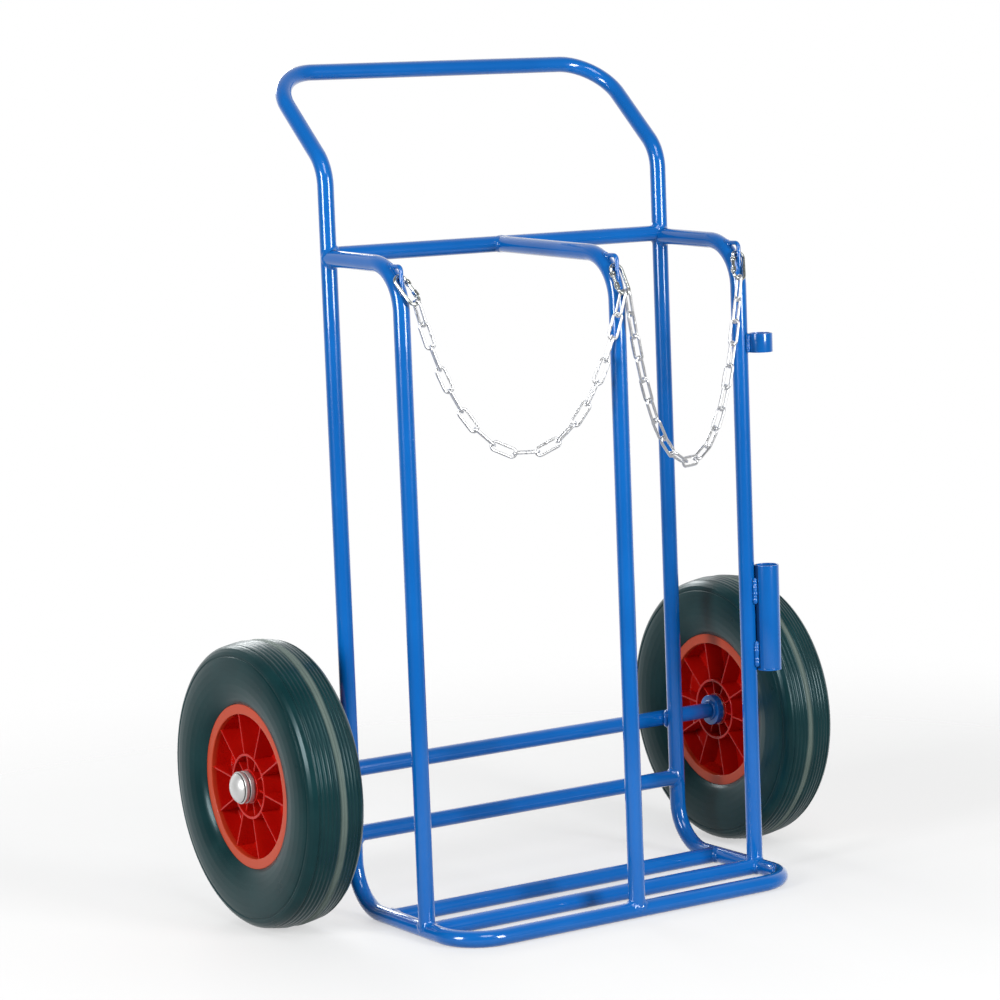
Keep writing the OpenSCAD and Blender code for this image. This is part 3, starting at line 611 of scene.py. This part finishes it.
def bare_metal(finish, cloud, dark, light, rough, marks, relief):
    """Closes a finish as clean metal: two shades in clouds, and fine marks of a depth and strength."""
    return finish.done(
        Base_Color=finish.mix(cloud, dark, light),
        Metallic=1.0,
        Roughness=rough,
        Normal=finish.bump(marks, *relief),
    )


zinc = Finish("zinc_plate")
where, _, radius = axle_place(zinc)
turning = zinc.marks(radius, 1400)
cloud = zinc.noise(where, 60, 3)
zinc_plate = bare_metal(zinc, cloud, (0.58, 0.60, 0.62), (0.72, 0.73, 0.74),
                        0.24 + 0.14 * cloud + 0.06 * turning, turning, (0.00004, 0.4))

for name, sign in sides:
    collar = box_section(collar_x, collar_x + collar_w, axle_r - 0.3, collar_r, [0, 1, 1, 0])
    collar_bead = bead(ring_line(sign * (collar_x - 0.4), axle_r + 1.6), 2.6, 3, 14, sign)
    coated(name + "_stop_ring", [on_axle(collar, sign), collar_bead], [name + "_stop_collar"])
    for place, low in (("inner", collar_x + collar_w), ("outer", outer_washer_x)):
        flat = box_section(low, low + washer_t, axle_r + 0.1, washer_r, 0.5)
        piece(f"{name}_{place}_plate", "frame", zinc_plate, [on_axle(flat, sign)],
              [f"{name}_{place}_washer"])

# -------- the rims
# Each rim is one red plastic moulding: a barrel with two flanges, a web in its
# middle plane, ten thin ribs on both faces, a stiffening ring and a hub core.
wheel_x = 400.5
rim_half = 33.5
flange_r, flange_t = 114.5, 5
seat_r, barrel_r = 105, 100.5
web_half = 2
hub_ring_r, hub_ring_t = 45.5, 3.6
ring_half, rib_half, rib_t, rib_count = 31, 30.6, 2.8, 10
rib_phase = math.radians(11)
core_r, core_bore_r = 24, 18.52
core_in, core_out = 26.5, 30
sheen_r, sheen_x = 100, 27


def make_rim_plastic(name, sign):
    """Red plastic with faint flow marks. It is deep red in the pockets; on the flanges, more than 100 mm from
    the axle and 27 mm from the middle plane, a duller orange is painted as sheen, in place of the white
    room's reflection."""
    red = Finish(name + "_rim_plastic")
    where, across, radius = axle_place(red, sign * wheel_x)
    flow = red.noise(where, 14, 4)
    grain = red.noise(where, 900, 2)
    # Painted sheen: the flanges' outer parts are painted a duller orange, a little rougher, in place of a
    # reflection.
    outside = abs(across).step((sheen_x - 3) / 1000, (sheen_x + 3) / 1000)
    flange_sheen = radius.step((sheen_r - 1.5) / 1000, (sheen_r + 1.5) / 1000) * outside * (0.75 + 0.25 * flow)
    deep_red = red.mix(flow.step(0.3, 0.75), (0.50, 0.004, 0.002), (0.58, 0.008, 0.003))
    return red.done(
        Base_Color=red.mix(flange_sheen, deep_red, (0.56, 0.070, 0.022)),
        Roughness=0.2 + 0.08 * flow + 0.04 * grain + 0.12 * flange_sheen,
        Specular_IOR_Level=0.35,
        Coat_Weight=0.15,
        Coat_Roughness=0.1,
        Normal=red.bump(grain + 0.6 * flow, 0.00006, 0.3),
    )


def rib_plates(hub, inner, outer, low, high):
    """Flat ribs that stand round a hub. The section of each is a slab from low to high along the axle,
    thinned by a tenth towards both edges and rounded there, carried from the inner to the outer radius and
    then turned to its share of a turn and the wheel's phase."""
    edge, middle = rib_t * 0.45, (low + high) / 2
    section = rounded([[low, -edge], [middle, -rib_t / 2], [high, -edge], [high, edge], [middle, rib_t / 2],
                       [low, edge]], [0.9, 5, 0.9, 0.9, 5, 0.9], 4)
    r = np.linspace(inner, outer, 3)[:, None]
    for number in range(rib_count):
        a = 2 * np.pi * number / rib_count + rib_phase
        out = np.array([0, math.sin(a), math.cos(a)])
        yield hub + section[:, :1] * X + section[:, 1:] * np.cross(out, X) + r[..., None] * out, False


def rim_side(core_end):
    """One half of the rim's outline, from the flange's inner edge by the web to the bore. Each corner is
    given by its distance from the middle plane, its radius, and the radius that rounds it."""
    inner = hub_ring_r - hub_ring_t
    return [[rim_half - flange_t, seat_r, 1], [rim_half - flange_t, flange_r, 1], [rim_half, flange_r, 1.2],
            [rim_half, barrel_r, 1.6], [web_half, barrel_r - 1, 3], [web_half, hub_ring_r + 0.6, 3],
            [ring_half, hub_ring_r, 0.9], [ring_half, inner, 0.9], [web_half, inner - 0.6, 2],
            [web_half, core_r + 0.5, 1.5], [core_end, core_r, 0.8], [core_end, core_bore_r, 0.8]]


rim_rows = np.array(rim_side(core_out) + [[-x, *rest] for x, *rest in reversed(rim_side(core_in))])
rim_outline = rounded(rim_rows[:, :2], rim_rows[:, 2], 6)
for name, sign in sides:
    hub = [sign * wheel_x, axle_y, axle_h]
    core_low, core_high = sorted([sign * (0.4 - core_in), sign * (core_out - rib_t)])
    shapes = [on_axle(rim_outline, sign, sign * wheel_x, 144),
              *rib_plates(hub, hub_ring_r - 1.5, barrel_r + 2, -rib_half, rib_half),
              *rib_plates(hub, core_r - 1, hub_ring_r - hub_ring_t + 1, core_low, core_high)]
    piece(name + "_rim_moulding", name + "_wheel", make_rim_plastic(name, sign), shapes,
          [name + "_rim"])

# -------- the tyres
# Puncture-proof tyres of smooth greenish-black rubber, stretched over the rims: a
# bulging side wall, a rounded shoulder, five low round ridges on either side of the
# crown's shallow valley, and a worn stripe that wanders beside it.
tyre_r, crown_drop = 200, 0.4
groove_w, groove_depth = 1.2, 0.9
ridge_pitch, ridge_count, valley = 6, 5, 0.7
ridge_points = [(ridge_pitch - groove_w / 2, 0.1), (0.7 * ridge_pitch, 0.75), (0.5 * ridge_pitch, 1),
                (0.3 * ridge_pitch, 0.75), (groove_w / 2, 0.1)]
stripe_edge, stripe_off = (1.8, 6.72), 4.5

tyre_side = [
    [0, seat_r], [rim_half - flange_t, seat_r], [rim_half - flange_t, flange_r], [rim_half, flange_r],
    [37.5, 118.5], [40.6, 123.5], [43.4, 133], [45.4, 144], [46, 155], [45.7, 166], [44.6, 175],
    [43.4, 180.6], [42.2, 181.4], [42.0, 183], [42.8, 184], [41.4, 188], [38.2, 192.2], [34.2, 195.2],
    [32.2, 196], [31.4, 195.2], [30.4, 195.3], [29.8, 196.4]]


def crown(x):
    """The radius of the ridges' tops: it falls by 0.0036 x^2, with a low swell 9 mm from the middle plane
    and the valley in the middle, both shaped as exp(-x^2)."""
    swell = 0.4 * math.exp(-((x - 9) / 7) ** 2)
    return tyre_r - crown_drop - 0.0036 * x ** 2 + swell - valley * math.exp(-(x / 4) ** 2)


tread = [[number * ridge_pitch + x, crown(number * ridge_pitch + x) - groove_depth * (1 - rise)]
         for number in reversed(range(ridge_count)) for x, rise in ridge_points]
half = np.array(tyre_side + tread + [[0, tyre_r - crown_drop - groove_depth - valley]])
outline = np.concatenate([half, half[-2:0:-1] * [-1, 1]])
bulge = (outline[:, 1] > flange_r + 1) & (outline[:, 1] < 180)
tyre_outline = rounded(outline, np.where(bulge, 30, 0.5), 4)


def make_rubber(name, sign):
    """Greenish-black rubber: a worn beige stripe beside the middle plane whose place and width wander, dusty
    speckles, and fine moulding lines that follow the radius."""
    rubber = Finish(name + "_tyre_rubber")
    where, across, radius = axle_place(rubber, sign * wheel_x)
    cloud = rubber.noise(where, 22, 4)
    speck = rubber.noise(where, 700, 2)
    wander = rubber.noise(where, 7, 2)
    off = across + sign * stripe_off / 1000 + 0.006 * (wander - 0.5)
    edge = abs(off) + 0.007 * (rubber.noise(where, 5, 1) - 0.5) + 0.002 * (speck - 0.5)
    stripe = 1 - edge.step(stripe_edge[0] / 1000, stripe_edge[1] / 1000)
    wear = radius.step((tyre_r - 8) / 1000, (tyre_r - 6) / 1000) * stripe * (0.7 + 0.5 * cloud)
    bloom = rubber.noise(where, 6, 3).step(0.42, 0.68)
    lines = rubber.marks(radius + abs(across) * 0.7, 700)
    base = rubber.mix(cloud.step(0.3, 0.75), (0.003, 0.027, 0.031), (0.005, 0.036, 0.040))
    dusty = rubber.mix(bloom * speck.step(0.45, 0.7) * 0.4, base, (0.022, 0.062, 0.064))
    worn = rubber.mix(speck * 0.6 + 0.4 * cloud, (0.085, 0.12, 0.105), (0.16, 0.20, 0.175))
    return rubber.done(
        Base_Color=rubber.mix(wear, dusty, worn),
        Roughness=0.24 + 0.1 * cloud + 0.1 * bloom * speck + 0.3 * wear,
        Specular_IOR_Level=0.3,
        Specular_Tint=(0.7, 0.95, 1.0),
        Coat_Weight=0.05,
        Coat_Roughness=0.12,
        Normal=rubber.bump(lines * 0.5 + speck * 0.35 + cloud, 0.00016, 0.35),
    )


for name, sign in sides:
    piece(name + "_tyre_moulding", name + "_wheel", make_rubber(name, sign),
          [on_axle(tyre_outline, sign, sign * wheel_x, 240)], [name + "_tyre"], crease=50)

# -------- the axle caps
# A satin pressed cap is driven on each end of the axle: a straight skirt with two
# rolled grooves, painted dark as shade, and a low dome.
cap_x = 433.5
cap_r, cap_skirt, cap_dome = 22.5, 15, 8.5

chrome = Finish("cap_chrome")
where, along, radius = axle_place(chrome)
smear = chrome.noise(where, 50, 4)
dome_edge = (cap_x + cap_skirt) / 1000
skirt = 1 - abs(along).step(dome_edge - 0.0006, dome_edge - 0.0001)
# Painted shade: in the skirt, whatever lies more than 0.9 mm inside its outer radius, the grooves, is painted
# near black, less metallic and rougher.
groove_shade = (1 - radius.step((cap_r - 2.1) / 1000, (cap_r - 0.9) / 1000)) * skirt
clean = chrome.mix(smear, (0.78, 0.79, 0.79), (0.88, 0.88, 0.87))
cap_chrome = chrome.done(
    Base_Color=chrome.mix(groove_shade, clean, (0.05, 0.06, 0.06)),
    Metallic=0.6 - 0.5 * groove_shade,
    Roughness=0.3 + 0.12 * smear + 0.3 * groove_shade,
    Normal=chrome.bump(smear, 0.0001, 0.25),
)

dome_base = cap_r - 2
dome_r = (dome_base ** 2 + cap_dome ** 2) / (2 * cap_dome)
angles = np.linspace(math.asin(dome_base / dome_r), 0.004, 22)
dome = np.stack([cap_skirt + cap_dome - dome_r + dome_r * np.cos(angles), dome_r * np.sin(angles)], 1)
grooves = [[cap_skirt - back, cap_r - deep] for back, deep in (
    (9.6, 0), (9.2, 2.6), (8.0, 2.6), (7.6, 0), (3.2, 0), (2.0, 0.6), (1.6, 2.9), (0.4, 2.9), (0.1, 1.9))]
shell = rounded([[0.2, cap_r - 1.2], [0, cap_r - 0.2], [0.8, cap_r], *grooves],
                [0.1, 0.4, 0.4, 0.7, 0.4, 0.4, 0.7, 1.2, 1.2, 0.5, 0.5, 0.4])
inside = [[cap_skirt + cap_dome - 1.4, 0.1], [cap_skirt - 1.5, dome_base - 6], [cap_skirt - 4, axle_r + 1],
          [0.2, axle_r + 1], [0.2, axle_r + 2.4], [cap_skirt - 4.5, cap_r - 4]]
cap_outline = np.concatenate([shell, dome[1:], inside])
for name, sign in sides:
    piece(name + "_cap_pressing", "frame", cap_chrome,
          [on_axle(cap_outline, sign, sign * cap_x, 96)], [name + "_axle_cap"])

# -------- the roller bearings
# A steel sleeve is pressed into each hub, and twelve loose rollers turn between
# it and the axle, held in a pressed cage. They keep their machined solids.


def steel(name, dark, light, rough, scale):
    """Bare steel: cloudy oil film over fine grinding marks that run round the axle."""
    metal = Finish(name)
    where, along, _ = axle_place(metal)
    film = metal.noise(where, 40, 4)
    marks = metal.marks(along, scale)
    return bare_metal(metal, film, dark, light, rough + 0.12 * film + 0.06 * marks, marks, (0.00003, 0.35))


bearing_steel = steel("bearing_steel", (0.48, 0.49, 0.50), (0.62, 0.63, 0.64), 0.18, 2600)
cage_steel = steel("cage_steel", (0.30, 0.31, 0.32), (0.45, 0.46, 0.47), 0.32, 1500)
for name, _ in sides:
    for node, finish in (("hub_sleeve", bearing_steel), ("bearing_rollers", bearing_steel),
                         ("bearing_cage", cage_steel)):
        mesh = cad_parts[f"{name}_{node}"].data
        mesh.materials.clear()
        mesh.materials.append(finish)

# -------- the snap hooks
# Each hook is 5 mm zinc-plated wire bent to a long loop, with its ends pressed
# flat. A gate with a forked end pivots on a pin through one flat, closes over
# the other and is pushed shut by a small spring.
hook_wire_r = 2.5
hook_r = 8.5
hook_low = -28
hook_tilt = math.radians(31)
hook_swing = math.radians(20)
pin_z = -4
tongue_half = 1.1
gate_low = hook_low + 0.3
gate_half, cheek_r, fork_half, fork_in = 2.5, 2.9, 3.2, 1.3
cheek_low, cheek_middle, neck_z = -7.4, -5.5, (-9.4, -6.7)
slot_high, head_z = gate_low + 4.2, (gate_low + 3.4, gate_low + 9)
pivot_half, pivot_flat = 2.2, 5.2
latch_half, latch_flat = 1.8, 2.6
spring_r, spring_wire_r, spring_top, spring_len = 1.3, 0.25, -7.2, 8.6
seat_gap = 0.3

plate = Finish("hook_plate")
where = plate.place()
cloud = plate.noise(where, 160, 3)
hook_plate = bare_metal(plate, cloud, (0.60, 0.63, 0.60), (0.78, 0.80, 0.77), 0.2 + 0.12 * cloud,
                        plate.noise(where, 1500, 2), (0.00003, 0.4))


def hook_place(side):
    """The hook's own frame: its origin is the middle of the top bow, which rests between the lug and the
    bend, +Z runs up the hook, and the gate is on the side of +X. The tilt turns it forwards and the swing
    sideways."""
    centre = post_bend[side]
    lug_y = -post_reach[side] - lug_ahead
    bow_y = lug_y + lug_r + hook_wire_r + seat_gap
    reach = post_bend_r + tube_r + hook_wire_r + seat_gap
    bow_h = centre[2] + math.sqrt(reach ** 2 - (bow_y - centre[1]) ** 2)
    turn = (Matrix.Rotation(-hook_tilt, 3, "X") @ Matrix.Rotation(side_sign[side] * hook_swing, 3, "Y")
            @ Matrix.Rotation(0 if side == "left" else math.pi, 3, "Z"))
    origin = [centre[0], bow_y - hook_r * math.sin(hook_tilt), bow_h - hook_r * math.cos(hook_tilt)]
    return np.array(origin), np.array(turn)


def flattened(line, wide, thick, count=32):
    """A section carried along a line, whose half width w and half thickness t change from row to row. The
    outline is |x / w|^n + |y / t|^n = 1, and n rises from 2, a circle, to 4, a soft rectangle."""
    points, ways, across = line
    a = full_turn(count)
    n = (2 + 2 * np.clip(wide / thick - 1, 0, 1))[:, None]
    scale = (np.abs(np.cos(a)) ** n + np.abs(np.sin(a)) ** n) ** (-1 / n)
    x = (np.cos(a) * scale * wide[:, None])[..., None]
    y = (np.sin(a) * scale * thick[:, None])[..., None]
    return points[:, None] + across[:, None] * x + np.cross(ways, across)[:, None] * y, False


def hook_wire():
    """The bent wire: from the pivot flat over the top bow, down the back, round the bottom bow and up to the
    latch flat. The half width and thickness blend over 4 mm from the flats' own to the wire's by
    f^2 (3 - 2 f), and both ends are round."""
    up = np.linspace(pin_z - pivot_half, 0, 14)
    over = np.linspace(0, np.pi, 34)[1:]
    down = np.linspace(0, hook_low, 12)[1:]
    under = over + np.pi
    end = np.linspace(hook_low, gate_low + 3, 12)[1:]
    x = np.concatenate([up * 0 + 1, np.cos(over), down * 0 - 1, np.cos(under), end * 0 + 1]) * hook_r
    z = np.concatenate([up, hook_r * np.sin(over), down, hook_low + hook_r * np.sin(under), end])
    points = np.stack([x, x * 0, z], 1)
    ways = unit(np.gradient(points, axis=0))
    line = (points, ways, np.cross(ways, np.tile(-Y, (len(points), 1))))
    s = np.concatenate([[0], np.cumsum(np.linalg.norm(np.diff(points, axis=0), axis=1))])
    back_s = s[-1] - s
    f = np.clip((s - pivot_flat) / 4, 0, 1) * np.clip((back_s - latch_flat) / 4, 0, 1)
    f = f * f * (3 - 2 * f)
    wide = np.where(s < s[-1] / 2, pivot_half, latch_half) * (1 - f) + hook_wire_r * f
    thick = tongue_half * (1 - f) + hook_wire_r * f
    tip = np.minimum(np.clip(s / pivot_half, 0, 1), np.clip(back_s / latch_half, 0, 1))
    wide = wide * np.sqrt(np.clip(1 - (1 - tip) ** 2, 0.02, 1))
    return flattened(line, wide, thick)


def block(y, z, soft=0.5):
    """A block as wide as the gate between two values of y and two of z, with rounded edges: outlines that
    draw in by soft (1 - sin t) at soft (1 - cos t) from each end."""
    t = np.linspace(0, np.pi / 2, 4)
    rise, inset = soft * (1 - np.cos(t)), soft * (1 - np.sin(t))
    rows = []
    for height, d in zip([*(z[0] + rise), *(z[1] - rise[::-1])], [*inset, *inset[::-1]]):
        x, low, high = gate_half - d, y[0] + d, y[1] - d
        section = rounded([[-x, low], [x, low], [x, high], [-x, high]], soft, 4)
        rows.append(np.insert(section, 2, height, 1))
    return np.array(rows), False


def gate_shapes():
    """The gate's parts round its own rod: two fork cheeks that end round about the pin, the neck that joins
    them, the rod, and a latch head whose slot closes over the hook's flat. A cheek's rows are its outline,
    drawn in by a tenth on both faces."""
    a = np.linspace(0, np.pi, 15)
    end = np.stack([cheek_r * np.cos(a), pin_z + cheek_r * np.sin(a)], 1)
    cheek = np.concatenate([[[-gate_half, cheek_low], [gate_half, cheek_low]], end])
    middle = np.array([0, cheek_middle])
    shrink = np.array([0.9, 1, 1, 0.9])[:, None, None]
    x, z = np.moveaxis((cheek - middle) * shrink + middle, -1, 0)
    shapes = []
    for sign in (1, -1):
        y = np.array([fork_in, fork_in + 0.3, fork_half - 0.3, fork_half]) * sign
        shapes.append((np.stack([x, x * 0 + y[:, None], z], -1), False))
        shapes.append(block((min(y), max(y)), (gate_low, slot_high), 0.4))
    shapes += [block((-fork_half, fork_half), neck_z), block((-fork_half, fork_half), head_z),
               sweep(bent([[0, 0, -8], [0, 0, gate_low + 8]]), gate_half, 28)]
    return [(grid + [hook_r, 0, 0], loop) for grid, loop in shapes]


def spring_shape(turns=7):
    """The gate's spring: a helix of thin wire from under the pin down into the rod."""
    t = np.linspace(0, 2 * np.pi * turns, turns * 14)
    z = spring_top - spring_len * t / t[-1]
    points = np.stack([hook_r + spring_r * np.cos(t), spring_r * np.sin(t), z], 1)
    ways = unit(np.gradient(points, axis=0))
    return sweep((points, ways, unit(np.cross(ways, Z))), spring_wire_r, 6)


def pin_shape():
    """The gate's pin, whose two ends are spread to low heads."""
    head = np.array([[3.02, 1.07], [3.2, 1.45], [3.45, 1.05], [3.5, 0.05]])
    return lathe(np.concatenate([head[::-1] * [-1, 1], head]), [hook_r, 0, pin_z], Y, 24)


hook_parts = [("hook_wire", "hook", "hook_body", [hook_wire()]),
              ("hook_rivet", "hook", "gate_pin", [pin_shape()]),
              ("gate_casting", "gate", "hook_gate", gate_shapes()),
              ("gate_coil", "gate", "gate_spring", [spring_shape()])]
for side in post_reach:
    origin, turn = hook_place(side)
    for name, body, node, shapes in hook_parts:
        piece(f"{side}_{name}", f"{side}_{body}", hook_plate,
              [(grid @ turn.T + origin, loop) for grid, loop in shapes], [f"{side}_{node}"])

# -------- the chains
# Zinc-plated links of welded 4 mm wire hang from each outer hook to the middle one,
# 17 on the left and 19 on the right. Links stand by turns across and in the upright
# plane through both ends.
link_r = 2
link_len, link_w = 32, 8
link_counts = {"left": 17, "right": 19}
last_step, shared_gap = 3.7, 0.7


def hang(side):
    """The middle and the heading of each link of a chain, the direction across its upright plane, and the
    headings of the two bows that it hangs on. With m = (links - 1) / 2, the slope of the k-th link is
    atan(slack (k - m)), and the slack that fits the length is found by halving its range."""
    origin, turn = hook_place(side)
    start = origin + turn @ [0, 0, hook_low - hook_r]
    middle_origin, middle_turn = hook_place("middle")
    end_low = hook_low - math.sqrt(hook_r ** 2 - last_step ** 2)
    span = middle_origin + middle_turn @ [-side_sign[side] * last_step, 0, end_low] - start
    chord = np.linalg.norm(span)
    count = link_counts[side]
    k = np.arange(count)
    middle = (count - 1) / 2
    length = np.where(k % 2 == 0, link_len + 2 * link_r, link_len - link_w)
    step = np.full(count + 1, link_w / 2 - link_r - seat_gap)
    step[0] = -(hook_wire_r + seat_gap + link_r)
    step[-1] = -(hook_wire_r + shared_gap + link_r)
    low, high = 0.01, 3.0
    for _ in range(50):
        slack = (low + high) / 2
        slope = np.arctan(slack * (k - middle))
        between = np.arctan(slack * (np.arange(count + 1) - 0.5 - middle))
        reach = (length * np.cos(slope)).sum() + (step * np.cos(between)).sum()
        low, high = (slack, high) if reach > chord else (low, slack)
    along = span / chord
    across = unit(np.cross(Z, along))
    up = np.cross(along, across)
    ways, joints = (np.outer(np.cos(angle), along) + np.outer(np.sin(angle), up)
                    for angle in (slope, between))
    runs, gaps = ways * length[:, None], joints * step[:, None]
    middles = start + np.cumsum(gaps[:-1], 0) + np.cumsum(runs, 0) - runs / 2
    return middles, ways, across, turn[:, 0], middle_turn[:, 0]


def link(centre, way, flat, number, count=14):
    """One link: a wire along a stadium in the plane of way and flat, four stretches of 17 points. Near the
    middle of one leg, which changes from link to link, a weld swells it by 0.35 mm exp(-(s / 1.6)^2)."""
    bow_r, half_leg = link_w / 2 + link_r, (link_len - link_w) / 2
    leg = np.linspace(-half_leg, half_leg, 17)
    arc = np.linspace(0, np.pi, 19)[1:-1]
    u = np.concatenate([leg, half_leg + bow_r * np.sin(arc), -leg, -half_leg - bow_r * np.sin(arc)])
    v = np.concatenate([leg * 0 + bow_r, bow_r * np.cos(arc), leg * 0 - bow_r, -bow_r * np.cos(arc)])
    points = u[:, None] * way + v[:, None] * flat
    ways = unit(np.roll(points, -1, 0) - np.roll(points, 1, 0))
    normal = np.cross(way, flat)
    welded = np.arange(len(u)) // len(leg) == (0 if number % 2 else 2)
    wire_r = link_r + 0.35 * np.exp(-(u / 1.6) ** 2) * welded
    return sweep((centre + points, ways, np.cross(normal, ways)), wire_r[:, None, None], count, True)


galvanised = Finish("chain_zinc")
where = galvanised.place()
cloud = galvanised.noise(where, 120, 4)
chain_zinc = bare_metal(galvanised, cloud, (0.80, 0.81, 0.82), (0.93, 0.93, 0.93), 0.28 + 0.14 * cloud,
                        galvanised.noise(where, 1900, 2), (0.00004, 0.4))

for side in link_counts:
    middles, ways, across, first_bow, last_bow = hang(side)
    flats = [np.cross(way, across) if number % 2 else across for number, way in enumerate(ways)]
    flats[0], flats[-1] = unit(np.cross(ways[0], first_bow)), unit(np.cross(ways[-1], last_bow))
    links = [link(*row, number) for number, row in enumerate(zip(middles, ways, flats))]
    piece(side + "_link_chain", side + "_chain", chain_zinc, links, [side + "_chain"])

# -------- floor and light
# A pale round floor that fades into a white room, whose far wall is bright and
# whose near side is dim. Two tall soft boxes flank the camera, a weaker one hangs
# in front, and one behind lights the wheels' shoulders.
floor_r, floor_h, floor_sides = 2.4, -0.0002, 96
fade_from, fade_to, near_fade = 0.8, 2.0, 0.55

pale = Finish("pale_floor")
distance = pale.node("ShaderNodeVectorMath", {"operation": "LENGTH"}, {0: pale.place()}, out="Value")
paint = pale.node("ShaderNodeBsdfPrincipled", None,
                  {"Base Color": (0.9, 0.9, 0.9, 1), "Roughness": 0.7, "Specular IOR Level": 0.1})
fade = near_fade + (1 - near_fade) * distance.step(fade_from, fade_to)
pale.close(pale.node("ShaderNodeMixShader", None,
                     {0: fade, 1: paint, 2: pale.node("ShaderNodeBsdfTransparent")}))
a = full_turn(floor_sides)
disc = bpy.data.meshes.new("pale_floor")
disc.from_pydata(np.stack([floor_r * np.cos(a), floor_r * np.sin(a), a * 0 + floor_h], 1).tolist(), [],
                 [list(range(floor_sides))])
disc.materials.append(pale.owner)
floor = bpy.data.objects.new("pale_floor", disc)
bpy.context.scene.collection.objects.link(floor)


def soft_box(name, place, aim, width, height, power):
    """A rectangular lamp in metres and watts, which the camera doesn't see."""
    lamp = bpy.data.lights.new(name, "AREA")
    lamp.shape, lamp.size, lamp.size_y, lamp.energy = "RECTANGLE", width, height, power
    made = bpy.data.objects.new(name, lamp)
    made.location = place
    made.visible_camera = False
    made.rotation_euler = (Vector(aim) - Vector(place)).to_track_quat("-Z", "Y").to_euler()
    bpy.context.scene.collection.objects.link(made)


soft_box("left_strip", (-3.43, -0.73, 1.4), (0, 0, 1.4), 1.0, 1.6, 92)
soft_box("right_strip", (0.73, -3.43, 1.4), (0, 0, 1.4), 1.0, 1.6, 98)
soft_box("front_box", (-0.8, -2.9, 3.5), (0, 0, 0.6), 1.6, 1.6, 38)
soft_box("rear_box", (0.3, 3.1, 1.95), (0, 0, 0.5), 1.6, 0.8, 36)

room = Finish("white_room", bpy.data.worlds)
ahead = (-math.sin(camera_azimuth), math.cos(camera_azimuth), 0)
facing = room.node("ShaderNodeVectorMath", {"operation": "DOT_PRODUCT"},
                   {0: room.node("ShaderNodeTexCoord", out="Generated"), 1: ahead}, out="Value")
wall = room.node("ShaderNodeMapRange", {"interpolation_type": "SMOOTHSTEP"},
                 {"Value": facing, "From Min": -0.1, "From Max": 1.0, "To Min": 0.1, "To Max": 1.0})
felt = room.node("ShaderNodeBackground", None, {"Color": (1, 1, 1, 1), "Strength": wall})
seen = room.node("ShaderNodeBackground", None, {"Color": (1, 1, 1, 1), "Strength": 1.0})
shown = room.node("ShaderNodeLightPath", out="Is Camera Ray")
bpy.context.scene.world = room.close(room.node("ShaderNodeMixShader", None, {0: shown, 1: felt, 2: seen}),
                                     "ShaderNodeOutputWorld")
bpy.context.scene.view_settings.view_transform = "Standard"
